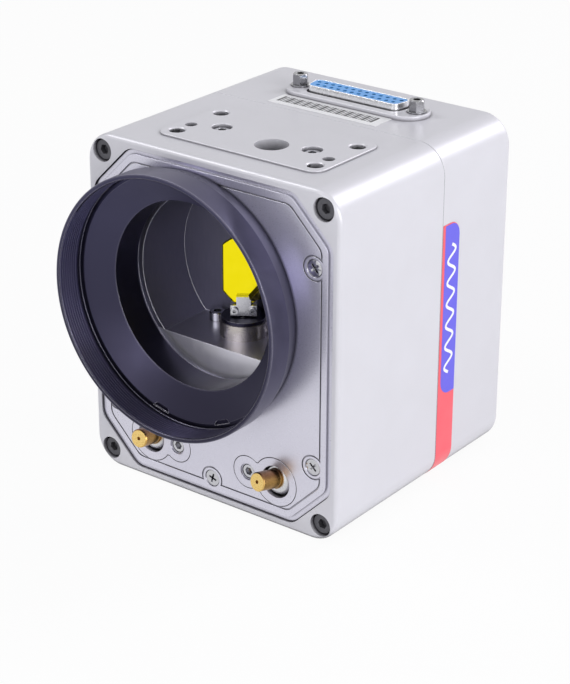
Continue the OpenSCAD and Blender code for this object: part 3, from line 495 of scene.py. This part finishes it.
nickel = nickel_plate()
flat_profile = [(0, -9), (1.5, -9), (1.5, -1.65), (2.72, -0.2), (2.72, -0.06), (2.6, 0), (0, 0)]
cross = [slot_tool(turn, 1.75, 0.38, 1.3) for turn in (0, pi / 2)]
flat_head = cut(turned("flat_head", flat_profile, 44), *cross)
plate_head_y = 0.2
plate_places = [at(x, plate_head_y, z) for x, z in ((40.5, 92.15), (40.5, 25.35), (-40.5, 25.35), (0, 8.45))]
plate_screws = fasteners("plate_cross_screws", flat_head, plate_places, facing_front, 11, nickel)
dressed(plate_screws, "head", "screw_steel", nickel, 32, "plate_screws")


# ---- lens ring ---------------------------------------------------------------
# A ring turned from aluminium and black-anodised, with a cone down to the
# window and an M85 x 1 thread for the lens. Four screws hold it from behind.

lens_axis = at(-8, 0, 70.4)
on_lens_axis = Matrix.Translation(lens_axis) @ Matrix.Rotation(pi / 2, 4, "X")


def moved(piece, matrix):
    """The piece, its mesh moved by the matrix."""
    piece.data.transform(matrix)
    return piece


def thread_tree():
    """A screw thread as one ridge wound along a helix, standing in from the bore."""
    tree, given, result = new_tree("thread", ("Bore", "Geometry"), ("Radius", "Float"),
                                   ("Pitch", "Float"), ("Turns", "Float"), ("Start", "Float"),
                                   ("Finish", "Material"))
    join = tree.links.new
    helix = tree.nodes.new("GeometryNodeCurveSpiral")
    upright = tree.nodes.new("GeometryNodeSetCurveNormal")
    upright.mode = "Z_UP"
    tooth = tree.nodes.new("GeometryNodeCurvePrimitiveQuadrilateral")
    tooth.mode = "POINTS"
    wind = tree.nodes.new("GeometryNodeCurveToMesh")
    shift = tree.nodes.new("GeometryNodeTransform")
    lift = tree.nodes.new("ShaderNodeCombineXYZ")
    helix.inputs["Resolution"].default_value = 160
    join(given["Radius"], helix.inputs["Start Radius"])
    join(given["Radius"], helix.inputs["End Radius"])
    join(given["Turns"], helix.inputs["Rotations"])
    join(maths(tree, "MULTIPLY", given["Pitch"], given["Turns"]), helix.inputs["Height"])
    flanks = ((0.10, -0.47), (-0.44, -0.10), (-0.44, 0.10), (0.10, 0.47))
    for number, (across, along) in enumerate(flanks, 1):
        tooth.inputs["Point %d" % number].default_value = (across * MM, along * MM, 0)
    join(helix.outputs[0], upright.inputs["Curve"])
    join(upright.outputs[0], wind.inputs["Curve"])
    join(tooth.outputs[0], wind.inputs["Profile Curve"])
    wind.inputs["Fill Caps"].default_value = True
    join(wind.outputs[0], shift.inputs["Geometry"])
    join(given["Start"], lift.inputs["Z"])
    join(lift.outputs[0], shift.inputs["Translation"])
    return finished(tree, shift.outputs[0], given["Finish"], result)


def wound_thread(name, radius_mm, turns, start_mm, finish):
    """A thread of that crest radius and 1 mm pitch, up from its start."""
    return grown(stood(name, bpy.data.meshes.new(name)), thread_tree(),
                 {"Radius": radius_mm * MM, "Pitch": 1.0 * MM, "Turns": turns,
                  "Start": start_mm * MM, "Finish": finish})


def worn_edges_and_highlight(tree, colour, edge_mm, bright):
    """The colour, going over to bare metal along the sharp edges: wear, and a painted highlight."""
    face = tree.nodes.new("ShaderNodeNewGeometry").outputs["True Normal"]
    flat = maths(tree, "DOT_PRODUCT", rounded_normal(tree, edge_mm), face,
                 kind="ShaderNodeVectorMath", result="Value")
    return mottled(tree, flat, bright, colour, 0.90, 0.985)


def black_anodised(name, wear_and_highlight_mm, pale=1.0):
    """Dyed anodising over fine turning lines; paler towards the top and on the outside as painted light,
    with wear and a painted highlight on its edges.
    """
    finish, tree, shader = new_finish(name, (0.045, 0.042, 0.068), 0.28, 0.92)
    place = tree.nodes.new("ShaderNodeTexCoord")
    centre = tree.nodes.new("ShaderNodeMapping")
    centre.inputs["Location"].default_value = tuple(-lens_axis)
    tree.links.new(place.outputs["Object"], centre.inputs["Vector"])
    from_axis = maths(tree, "MULTIPLY", centre.outputs[0], (1, 0.35, 1), kind="ShaderNodeVectorMath")
    reach = maths(tree, "LENGTH", from_axis, kind="ShaderNodeVectorMath", result="Value")
    lines_mm = 0.28
    lines = maths(tree, "SINE", maths(tree, "MULTIPLY", reach, 2 * pi / (lines_mm * MM)))
    height = tree.nodes.new("ShaderNodeSeparateXYZ")
    tree.links.new(centre.outputs[0], height.inputs[0])
    # Painted light: the inside is darker as painted shade and paler towards the top, and the outside is
    # paler; pale makes a lighter copy.
    low, high = [tuple(pale * c for c in colour)
                 for colour in ((0.026, 0.024, 0.043), (0.050, 0.048, 0.088))]
    inside = mottled(tree, height.outputs["Z"], low, high, -0.035, 0.02)
    cloud = grain(tree, 9, detail=3)
    outside = mottled(tree, cloud, (0.085, 0.081, 0.132), (0.098, 0.093, 0.150))
    face = tree.nodes.new("ShaderNodeNewGeometry").outputs["Normal"]
    outward = maths(tree, "DOT_PRODUCT", from_axis, face, kind="ShaderNodeVectorMath", result="Value")
    dye_and_painted_light = mottled(tree, outward, inside, outside, 0.005, 0.03)
    # Bright edges: wear and a painted highlight.
    tree.links.new(worn_edges_and_highlight(tree, dye_and_painted_light, wear_and_highlight_mm, (0.42, 0.41, 0.47)), shader.inputs["Base Color"])
    tree.links.new(between(tree, cloud, 0.28, 0.36), shader.inputs["Roughness"])
    broken_edges(tree, shader, 0.15, lines, 0.0012, 0.6)
    return finish


anodised = black_anodised("black_anodised", 0.2)
# The thread is the same anodising, painted five times paler inside as painted light.
thread_black = black_anodised("thread_black", 0.01, 5)
ring_profile = [(31.5, -10.8), (33.3, -10.8), (33.3, 0), (41.8, 0), (43.95, 6.2), (44, 6.5), (44, 14.3),
                (43.88, 14.58), (43.6, 14.7), (42.7, 14.7), (42.45, 14.45), (42.45, 6.0), (42.9, 5.85),
                (42.9, 4.75), (42.75, 4.6), (41.2, 4.6), (40.95, 4.5), (31.75, 0.12), (31.5, -0.1)]
ring = moved(turned("lens_ring_body", ring_profile, 256, closed=True), on_lens_axis)
notches = []
notch_centre = (41.16 + 2.35) * MM
for angle in (radians(257), radians(293)):
    notch = turned("notch", [(0, 4.1), (4, 4.1), (4, 5.2), (0, 5.2)], 40)
    aside = Matrix.Translation((notch_centre * cos(angle), notch_centre * sin(angle), 0))
    moved(notch, on_lens_axis @ aside)
    inside_rim = moved(turned("inside_rim", [(0, 3), (41.5, 3), (41.5, 5.3), (0, 5.3)], 128), on_lens_axis)
    notches.append(cut(notch, inside_rim, operation="INTERSECT"))
cut(ring, *notches)
dressed(ring, "head", "black_anodised", anodised, 25, "lens_ring")
thread = moved(wound_thread("lens_thread", 42.4, 7.6, 6.5, thread_black), on_lens_axis)
dressed(thread, "head", "black_anodised", thread_black, 25)
smooth_skin("ring_screws", "head", "black_steel", blackened)


# ---- tapped mounting holes ---------------------------------------------------
# The four M6 holes in the raised pad are tapped after painting, and their bare aluminium thread is coloured
# dark as painted shade inside them.

PAD_X, PAD_Y = 2, 26.2


def tapped_alu():
    finish, tree, shader = new_finish("tapped_alu", (0.40, 0.40, 0.42), 0.30, 1.0)
    chatter = grain(tree, 0.3, detail=3)
    # Darker than bare aluminium: painted shade inside the holes.
    metal_colour = mottled(tree, chatter, (0.30, 0.30, 0.32), (0.46, 0.46, 0.48))
    tree.links.new(metal_colour, shader.inputs["Base Color"])
    tree.links.new(between(tree, chatter, 0.24, 0.40), shader.inputs["Roughness"])
    broken_edges(tree, shader, 0.05, chatter, 0.006, 0.5)
    return finish


bare_alu_painted_dark = tapped_alu()
mount_thread = wound_thread("mount_thread", 2.55, 4.9, 0.3, bare_alu_painted_dark)
mount_x, mount_y, mount_foot_z = 27.2, 11, 112.0
mount_places = [at(PAD_X + sx * mount_x, PAD_Y + sy * mount_y, mount_foot_z)
                for sx in (-1, 1) for sy in (-1, 1)]
mount_threads = fasteners("mount_hole_threads", mount_thread, mount_places, facing_up, 4, bare_alu_painted_dark)
dressed(mount_threads, "head", "case_paint", bare_alu_painted_dark, 25)


# ---- pointers ----------------------------------------------------------------
# Two brass laser pointers sit in steel balls. A keyhole-shaped insert with the
# ball's seat lies in the plate, and a small socket screw in it locks the ball.

POINTER_X, POINTER_Y, POINTER_Z = 25.9, 5, 15.5
POINTER_INWARDS, POINTER_UPWARDS = 6, 12.3
BALL_R = 6


def turned_brass():
    """Bare brass off the lathe, lighter on the pointer's front as painted light, and darker round it and
    darkest on top as painted shade.
    """
    finish, tree, shader = new_finish("turned_brass", (0.72, 0.48, 0.15), 0.26, 1.0)
    rub = grain(tree, 0.6, (1, 4, 1), 4)
    face = tree.nodes.new("ShaderNodeNewGeometry")
    facing = tree.nodes.new("ShaderNodeSeparateXYZ")
    tree.links.new(face.outputs["Normal"], facing.inputs[0])
    # Painted shade that grows darker towards the top, and painted light on the front face.
    shaded_round_and_on_top = mottled(tree, facing.outputs["Z"], (0.52, 0.31, 0.09), (0.20, 0.10, 0.05), 0.1, 0.8)
    lit_front = mottled(tree, rub, (0.72, 0.50, 0.17), (0.80, 0.58, 0.22))
    metal_colour = mottled(tree, facing.outputs["Y"], shaded_round_and_on_top, lit_front, -0.6, -0.9)
    tree.links.new(metal_colour, shader.inputs["Base Color"])
    tree.links.new(between(tree, rub, 0.24, 0.34), shader.inputs["Roughness"])
    broken_edges(tree, shader, 0.1, rub, 0.008, 0.5)
    return finish


def turned_steel():
    finish, tree, shader = new_finish("turned_steel", (0.58, 0.58, 0.61), 0.28, 1.0)
    rub = grain(tree, 0.5, (1, 3, 1), 4)
    metal_colour = mottled(tree, rub, (0.54, 0.54, 0.56), (0.64, 0.64, 0.66))
    tree.links.new(metal_colour, shader.inputs["Base Color"])
    tree.links.new(between(tree, rub, 0.22, 0.38), shader.inputs["Roughness"])
    broken_edges(tree, shader, 0.1, rub, 0.006, 0.5)
    return finish


brass = turned_brass()
steel = turned_steel()
barrel_profile = [(0, -12), (2.8, -12), (3.1, -11.7), (3.1, 12.7), (2.75, 13.1), (0.6, 13.1), (0.6, 11.6),
                  (0, 11.6)]
ball_end, ball_steps = 4.6, 20
ball_heights = [-ball_end + 2 * ball_end * k / ball_steps for k in range(1, ball_steps + 1)]
ball_profile = ([(3.12, -ball_end), (3.86, -ball_end)]
                + [(sqrt(BALL_R ** 2 - height * height), height) for height in ball_heights]
                + [(3.4, ball_end), (3.12, 4.4)])
for hand, sign in (("left", -1), ("right", 1)):
    swivel = (Matrix.Translation(at(sign * POINTER_X, POINTER_Y, POINTER_Z))
              @ Matrix.Rotation(radians(-sign * POINTER_INWARDS), 4, "Z")
              @ Matrix.Rotation(radians(90 - POINTER_UPWARDS), 4, "X"))
    barrel = moved(turned("brass_pointer_" + hand, barrel_profile, 64), swivel)
    dressed(barrel, hand + "_pointer", "brass", brass, 25, "pointer_" + hand)
    ball = moved(turned("swivel_ball_" + hand, ball_profile, 64, closed=True), swivel)
    dressed(ball, hand + "_pointer", "ball_steel", steel, 25, "pointer_ball_" + hand)
    smooth_skin("pointer_carrier_" + hand, "head", "plate_alu", plate_satin)
smooth_skin("ball_retainers", "head", "black_anodised", anodised)
lock_screw = turned("lock_screw", [(0, -7.4), (2.5, -7.4), (2.5, -0.3), (2.2, 0), (0, 0)], 40)
cut(lock_screw, hexagon(2.5, 2, 0))
lock_x, lock_head_y = 14.7, 0.6
lock_places = [at(sx * lock_x, lock_head_y, POINTER_Z) for sx in (-1, 1)]
lock_screws = fasteners("pointer_lock_socket_screws", lock_screw, lock_places, facing_front, 5, nickel)
dressed(lock_screws, "head", "black_steel", nickel, 32, "pointer_lock_screws")


# ---- scanner block -----------------------------------------------------------
# An aluminium block, milled, with a round chamber for the beam and a ledge at
# its foot. It carries both scanners and is held by four cap screws.

LEDGE_Z = 48.6


def milled_block():
    """Dark grey in the chamber, lighter on level faces and lighter still on the ledge's front as painted
    light, with wear and a painted highlight on its edges.
    """
    finish, tree, shader = new_finish("milled_block", (0.16, 0.157, 0.20), 0.34, 0.85)
    feed = grain(tree, 0.7, (1, 1, 0.12), 3)
    upright_grey = mottled(tree, feed, (0.205, 0.200, 0.262), (0.222, 0.216, 0.282))
    face = tree.nodes.new("ShaderNodeNewGeometry")
    facing = tree.nodes.new("ShaderNodeSeparateXYZ")
    place = tree.nodes.new("ShaderNodeTexCoord")
    where = tree.nodes.new("ShaderNodeSeparateXYZ")
    tree.links.new(face.outputs["True Normal"], facing.inputs[0])
    tree.links.new(place.outputs["Object"], where.inputs[0])
    # Painted light: level faces and the ledge's front are made lighter by which way they face.
    level = between(tree, facing.outputs["Z"], 0, 1, 0.90, 0.99)
    forward = between(tree, facing.outputs["Y"], 0, 1, -0.90, -0.99)
    low_down = between(tree, where.outputs["Z"], 1, 0, (LEDGE_Z + 0.1) * MM, (LEDGE_Z + 0.5) * MM)
    metal_colour = blend(tree, level, upright_grey, (0.52, 0.51, 0.60))
    bright = blend(tree, maths(tree, "MULTIPLY", forward, low_down), metal_colour, (0.80, 0.79, 0.86))
    tree.links.new(worn_edges_and_highlight(tree, bright, 0.22, (0.80, 0.79, 0.86)), shader.inputs["Base Color"])
    tree.links.new(between(tree, feed, 0.31, 0.37), shader.inputs["Roughness"])
    broken_edges(tree, shader, 0.25, feed, 0.002, 0.3)
    return finish


smooth_skin("scanner_block", "head", "block_alu", milled_block())
cap_profile = [(0, -6), (1.5, -6), (1.5, 0), (2.75, 0), (2.75, 2.7), (2.5, 3), (0, 3)]
cap_head = cut(turned("cap_head", cap_profile, 44), hexagon(2.5, 1.6, 3))
top_screw_x, top_screw_z, ledge_screw_y = 17.9, 114.2, 30.5
block_places = ([at(PAD_X + sx * top_screw_x, PAD_Y, top_screw_z) for sx in (-1, 1)]
                + [at(x, ledge_screw_y, LEDGE_Z) for x in (-22, 9)])
block_screws = fasteners("block_cap_screws", cap_head, block_places, facing_up, 8, nickel)
dressed(block_screws, "head", "screw_steel", nickel, 32, "block_screws")
smooth_skin("motor_set_screws", "head", "black_steel", blackened)


# ---- scanners ----------------------------------------------------------------
# Two galvanometer scanners: a steel can with the winding, two bearings and a
# turning magnet, a shaft, a clamp with two screws and a thin coated mirror.

def can_steel():
    finish, tree, shader = new_finish("can_steel", (0.50, 0.465, 0.44), 0.30, 1.0)
    lathe = grain(tree, 0.5, (1, 1, 5), 3)
    metal_colour = mottled(tree, lathe, (0.46, 0.42, 0.39), (0.55, 0.52, 0.50))
    tree.links.new(metal_colour, shader.inputs["Base Color"])
    tree.links.new(between(tree, lathe, 0.22, 0.38), shader.inputs["Roughness"])
    broken_edges(tree, shader, 0.15, lathe, 0.008, 0.5)
    return finish


def ground_steel(name, colour):
    finish, tree, shader = new_finish(name, colour, 0.18, 1.0)
    rub = grain(tree, 0.25, detail=3)
    tree.links.new(between(tree, rub, 0.12, 0.26), shader.inputs["Roughness"])
    broken_edges(tree, shader, 0.08, rub, 0.003, 0.4)
    return finish


def wound_wire():
    """Varnished copper wire: turns lying side by side along the winding."""
    finish, tree, shader = new_finish("wound_wire", (0.46, 0.19, 0.08), 0.32, 0.6)
    wires = tree.nodes.new("ShaderNodeTexWave")
    wires.bands_direction = "DIAGONAL"
    wires.inputs["Scale"].default_value = 900
    place = tree.nodes.new("ShaderNodeTexCoord")
    tree.links.new(place.outputs["Object"], wires.inputs["Vector"])
    copper = blend(tree, wires.outputs["Fac"], (0.32, 0.12, 0.05), (0.56, 0.26, 0.11))
    tree.links.new(copper, shader.inputs["Base Color"])
    broken_edges(tree, shader, 0.1, wires.outputs["Fac"], 0.05, 0.7)
    return finish


def milled_bright():
    finish, tree, shader = new_finish("milled_bright", (0.74, 0.74, 0.77), 0.26, 0.95)
    feed = grain(tree, 0.3, (1, 1, 4), 3)
    bright = mottled(tree, feed, (0.72, 0.72, 0.75), (0.76, 0.76, 0.79))
    # Painted shade in the clamp's gaps and screw holes.
    shade_in_gaps = painted_shade_in_corners(tree, bright, 0.6, (0.04, 0.04, 0.05), 0.35, 0.8)
    tree.links.new(shade_in_gaps, shader.inputs["Base Color"])
    tree.links.new(between(tree, feed, 0.20, 0.34), shader.inputs["Roughness"])
    broken_edges(tree, shader, 0.15, feed, 0.006, 0.5)
    return finish


def yellow_coating():
    """A dielectric coat on polished silicon: mirror-smooth, deep yellow, with faint clouds."""
    finish, tree, shader = new_finish("yellow_coating", (0.89, 0.75, 0.008), 0.06, 1.0)
    cloud = grain(tree, 5, detail=2)
    coat = mottled(tree, cloud, (0.87, 0.735, 0.006), (0.90, 0.765, 0.010))
    tree.links.new(coat, shader.inputs["Base Color"])
    tree.links.new(between(tree, cloud, 0.04, 0.09), shader.inputs["Roughness"])
    return finish


def moulded(name, colour, roughness=0.45):
    """Moulded plastic: a fine skin, and a painted shade in its holes and corners."""
    finish, tree, shader = new_finish(name, colour, roughness)
    skin = grain(tree, 0.3, detail=3)
    lighter, painted_shade_colour = [tuple(min(1, c * share + 0.004) for c in colour) for share in (1.12, 0.08)]
    resin = mottled(tree, skin, colour, lighter)
    # Painted shade in holes and corners.
    tree.links.new(painted_shade_in_corners(tree, resin, 1.5, painted_shade_colour, 0.3, 0.75), shader.inputs["Base Color"])
    tree.links.new(between(tree, skin, roughness - 0.05, roughness + 0.07), shader.inputs["Roughness"])
    broken_edges(tree, shader, 0.15, skin, 0.01, 0.4)
    return finish


def bevel_edges(piece, width_mm, steps):
    """Grinds a bevel along the piece's sharp edges."""
    grind = piece.modifiers.new("grind", "BEVEL")
    grind.width = width_mm * MM
    grind.segments = steps
    grind.limit_method = "ANGLE"
    grind.angle_limit = radians(25)
    settled(piece)


bearing_steel = ground_steel("bearing_steel", (0.62, 0.62, 0.64))
black_plastic = moulded("black_plastic", (0.035, 0.035, 0.04))
still_parts = (("motor_can", "can_steel", can_steel()), ("coil", "copper", wound_wire()),
               ("bearings", "bearing_steel", bearing_steel), ("front_cover", "black_anodised", anodised),
               ("detector_cap", "black_anodised", anodised))
turning_parts = (("shaft", "bearing_steel", bearing_steel),
                 ("magnet", "magnet", ground_steel("magnet_nickel", (0.42, 0.42, 0.44))),
                 ("detector_vane", "vane_plastic", black_plastic),
                 ("mirror_clamp", "clamp_alu", milled_bright()), ("clamp_screws", "screw_steel", nickel))
coating = yellow_coating()
for hand in "xy":
    for part, slot, finish in still_parts:
        smooth_skin(hand + "_" + part, "head", slot, finish)
    for part, slot, finish in turning_parts:
        smooth_skin(hand + "_" + part, hand + "_rotor", slot, finish)
    mirror = smooth_skin(hand + "_mirror", hand + "_rotor", "mirror_coat", coating)
    bevel_edges(mirror, 0.35, 1)


# ---- driver boards -----------------------------------------------------------
# Two servo driver boards stand on brass spacers on the left wall of the rear
# cover: green glass-fibre boards with capacitors, chips and plug headers.

def solder_mask():
    """Green mask over copper tracks that show as a faint lighter pattern."""
    finish, tree, shader = new_finish("solder_mask", (0.02, 0.14, 0.07), 0.28)
    place = tree.nodes.new("ShaderNodeTexCoord")
    turn = tree.nodes.new("ShaderNodeMapping")
    turn.inputs["Rotation"].default_value = (0, pi / 2, 0)
    tracks = tree.nodes.new("ShaderNodeTexBrick")
    tracks.inputs["Scale"].default_value = 420
    tracks.inputs["Mortar Size"].default_value = 0.03
    tracks.inputs["Color1"].default_value = (0.014, 0.11, 0.05, 1)
    tracks.inputs["Color2"].default_value = (0.022, 0.15, 0.07, 1)
    tracks.inputs["Mortar"].default_value = (0.05, 0.24, 0.11, 1)
    tree.links.new(place.outputs["Object"], turn.inputs["Vector"])
    tree.links.new(turn.outputs[0], tracks.inputs["Vector"])
    tree.links.new(tracks.outputs["Color"], shader.inputs["Base Color"])
    broken_edges(tree, shader, 0.1, tracks.outputs["Fac"], 0.02, 0.4)
    return finish


board_green = solder_mask()
for hand in "xy":
    smooth_skin(hand + "_driver_board", "head", "board_green", board_green)
    smooth_skin(hand + "_board_parts", "head", "part_black", black_plastic)
smooth_skin("board_standoffs", "head", "brass", brass)
smooth_skin("board_screws", "head", "screw_steel", nickel)


# ---- connector ---------------------------------------------------------------
# A 25-way D socket under a raised land: a pressed, tinned steel shell, a blue
# moulded insulator with two rows of gilt contacts, and two hexagon jackscrews.

CONTACT_PITCH, CONTACT_FOOT_Z = 2.77, 106.4


def tinned_shell():
    finish, tree, shader = new_finish("tinned_shell", (0.66, 0.66, 0.67), 0.30, 0.95)
    spangle = grain(tree, 1.2, detail=4)
    tin = mottled(tree, spangle, (0.84, 0.84, 0.85), (0.90, 0.90, 0.91))
    tree.links.new(tin, shader.inputs["Base Color"])
    tree.links.new(between(tree, spangle, 0.20, 0.28), shader.inputs["Roughness"])
    broken_edges(tree, shader, 0.15, spangle, 0.003, 0.3)
    return finish


def gilt():
    finish, tree, shader = new_finish("gilt", (0.78, 0.54, 0.16), 0.26, 1.0)
    rub = grain(tree, 0.2, detail=3)
    tree.links.new(between(tree, rub, 0.2, 0.34), shader.inputs["Roughness"])
    broken_edges(tree, shader, 0.05, rub, 0.004, 0.4)
    return finish


smooth_skin("connector_shell", "head", "shell_steel", tinned_shell())
blue_plastic = moulded("blue_plastic", (0.07, 0.34, 0.80), 0.32)
smooth_skin("connector_insulator", "head", "insulator_blue", blue_plastic)
smooth_skin("jackscrews", "head", "screw_steel", nickel_plate("dull_nickel", 0.55))
contact_gilt = gilt()
socket_profile = [(0.45, 4), (0.7, 4), (0.7, 12.6), (0.62, 12.7), (0.45, 12.7)]
socket = turned("contact", socket_profile, 14, closed=True)
contact_places = [at(PAD_X + (k - (count - 1) / 2) * CONTACT_PITCH, y, CONTACT_FOOT_Z)
                  for count, y in ((13, 76.42), (12, 73.58)) for k in range(count)]
contacts = fasteners("gilt_contacts", socket, contact_places, facing_up, 2, contact_gilt, 0)
dressed(contacts, "head", "gold", contact_gilt, 30, "connector_contacts")


# ---- printed films -----------------------------------------------------------
# A white label on top with plain bars, and a blue and red vinyl strip with a
# plain white wave on the right side along the seam. Neither carries any words.

def printed_film(name, colour, roughness=0.38):
    finish, tree, shader = new_finish(name, colour, roughness)
    wave = grain(tree, 6, detail=2)
    tree.links.new(between(tree, wave, roughness - 0.04, roughness + 0.06), shader.inputs["Roughness"])
    broken_edges(tree, shader, 0.05, wave, 0.03, 0.3)
    shader.inputs["Coat Weight"].default_value = 0.15
    shader.inputs["Coat Roughness"].default_value = 0.2
    return finish


def sheet_of(name, rows, thick_mm, push):
    """A thin film: rows of places in the case's millimetres, made thick along push."""
    shape = bmesh.new()
    low, high = [[[shape.verts.new(at(*place) + Vector(push(*place)) * lift * MM) for place in row]
                  for row in rows] for lift in (0.0, thick_mm)]
    for grid, flip in ((low, True), (high, False)):
        for first, second in zip(grid, grid[1:]):
            for k in range(len(first) - 1):
                corners = [first[k], first[k + 1], second[k + 1], second[k]]
                shape.faces.new(corners[::-1] if flip else corners)
    last_row, last = len(rows) - 1, len(rows[0]) - 1
    edge = ([(0, k) for k in range(last + 1)]
            + [(r, last) for r in range(1, last_row + 1)]
            + [(last_row, k) for k in range(last - 1, -1, -1)]
            + [(r, 0) for r in range(last_row - 1, 0, -1)])
    for (r1, k1), (r2, k2) in zip(edge, edge[1:] + edge[:1]):
        shape.faces.new((low[r1][k1], low[r2][k2], high[r2][k2], high[r1][k1]))
    bmesh.ops.remove_doubles(shape, verts=shape.verts, dist=1e-7)
    return solid_of(name, shape)


EDGE_R, EDGE_X = 10, CASE_SIDE_X - 10


def sideways(x, y, z):
    """Out of the right side, and round its lower long edge."""
    return (1, 0, 0) if z >= EDGE_R else ((x - EDGE_X) / EDGE_R, 0, (z - EDGE_R) / EDGE_R)


def upwards(x, y, z):
    return (0, 0, 1)


def side_point(y, z):
    """The place on the right side at that height; below the long edge's radius it runs round it."""
    if z >= EDGE_R:
        return (CASE_SIDE_X, y, z)
    bend = (EDGE_R - z) / EDGE_R
    return (EDGE_X + EDGE_R * cos(bend), y, EDGE_R - EDGE_R * sin(bend))


def rounded(radius, gone):
    """How far a rounded corner has come out after going that far along it."""
    return sqrt(max(0, radius ** 2 - (radius - min(max(gone, 0), radius)) ** 2))


quarter = [radians(angle) for angle in range(0, 91, 10)]
red_top, red_left, film_right, red_r = 91, 55.4, 64.8, 5
red_heights = ([red_top - red_r * (1 - cos(turn)) for turn in quarter] + [70, 40, EDGE_R]
               + [EDGE_R - 1.5 * k for k in range(1, 10)])
red_rows = [[side_point(y, z) for y in (red_left, film_right - red_r + rounded(red_r, red_top - z))]
            for z in red_heights]
red_film = sheet_of("side_film_red", red_rows, 0.1, sideways)
red_vinyl = printed_film("red_vinyl", (0.86, 0.095, 0.13))
dressed(red_film, "head", "sticker_red", red_vinyl, 40, "side_sticker")

blue_top, blue_foot, blue_left, blue_r, blue_foot_r = 90.6, 31, 56.7, 4.6, 5
blue_heights = ([blue_top - blue_r * (1 - cos(turn)) for turn in quarter] + [60]
                + [blue_foot + blue_foot_r - blue_foot_r * sin(turn) for turn in quarter])
blue_x = CASE_SIDE_X + 0.1
blue_rows = [[(blue_x, blue_left + blue_foot_r - rounded(blue_foot_r, z - blue_foot), z),
              (blue_x, film_right - blue_r + rounded(blue_r, blue_top - z), z)] for z in blue_heights]
blue_film = sheet_of("side_film_blue", blue_rows, 0.03, sideways)
dressed(blue_film, "head", "sticker_red", printed_film("blue_vinyl", (0.11, 0.095, 0.72)), 40)

wave_x, wave_y, wave_top, wave_length, wave_steps = CASE_SIDE_X + 0.13, 60.7, 83.5, 45, 200
wave_reach, wave_rate, half_line = 2.1, 0.84, 0.5
wave_rows = []
for z in [wave_top - wave_length * k / wave_steps for k in range(wave_steps + 1)]:
    phase = (wave_top - z) * wave_rate
    y, slope = wave_y + wave_reach * sin(phase), wave_reach * wave_rate * cos(phase)
    across, along = half_line / sqrt(1 + slope * slope), half_line * slope / sqrt(1 + slope * slope)
    wave_rows.append([(wave_x, y - across, z - along), (wave_x, y + across, z + along)])
wave = sheet_of("side_film_wave", wave_rows, 0.02, sideways)
dressed(wave, "head", "sticker_red", printed_film("wave_white", (0.86, 0.86, 0.88)), 40)

label_rows = [[(x, y, CASE_TOP_Z) for x in (-22.3, 21.1)] for y in (58.0, 67.3)]
label = sheet_of("top_label_film", label_rows, 0.13, upwards)
label_white = printed_film("label_white", (0.90, 0.90, 0.92), 0.5)
dressed(label, "head", "label_white", label_white, 40, "top_label")


def bar(width, length):
    """A printed bar at the frame's own zero, to be set out."""
    corners = [[(-FRAME_X + sx * width / 2, -FRAME_Y + sy * length / 2, 0) for sx in (-1, 1)]
               for sy in (-1, 1)]
    return sheet_of("bar", corners, 0.015, upwards)


print_black = printed_film("print_black", (0.03, 0.03, 0.035), 0.5)
bar_y, bar_z, bar_step = 62.9, CASE_TOP_Z + 0.13, 3.4
wide_places = [at(-20 + bar_step * k, bar_y, bar_z) for k in range(12)]
thin_places = [at(-18.3 + bar_step * k + shift, bar_y, bar_z)
               for k in range(11) for shift in (-0.55, 0.55)]
for name, width, places in (("wide_bars", 1.0, wide_places), ("thin_bars", 0.5, thin_places)):
    bars = fasteners("label_" + name, bar(width, 5.2), places, facing_up, 1, print_black, 0)
    dressed(bars, "head", "label_white", print_black, 40)
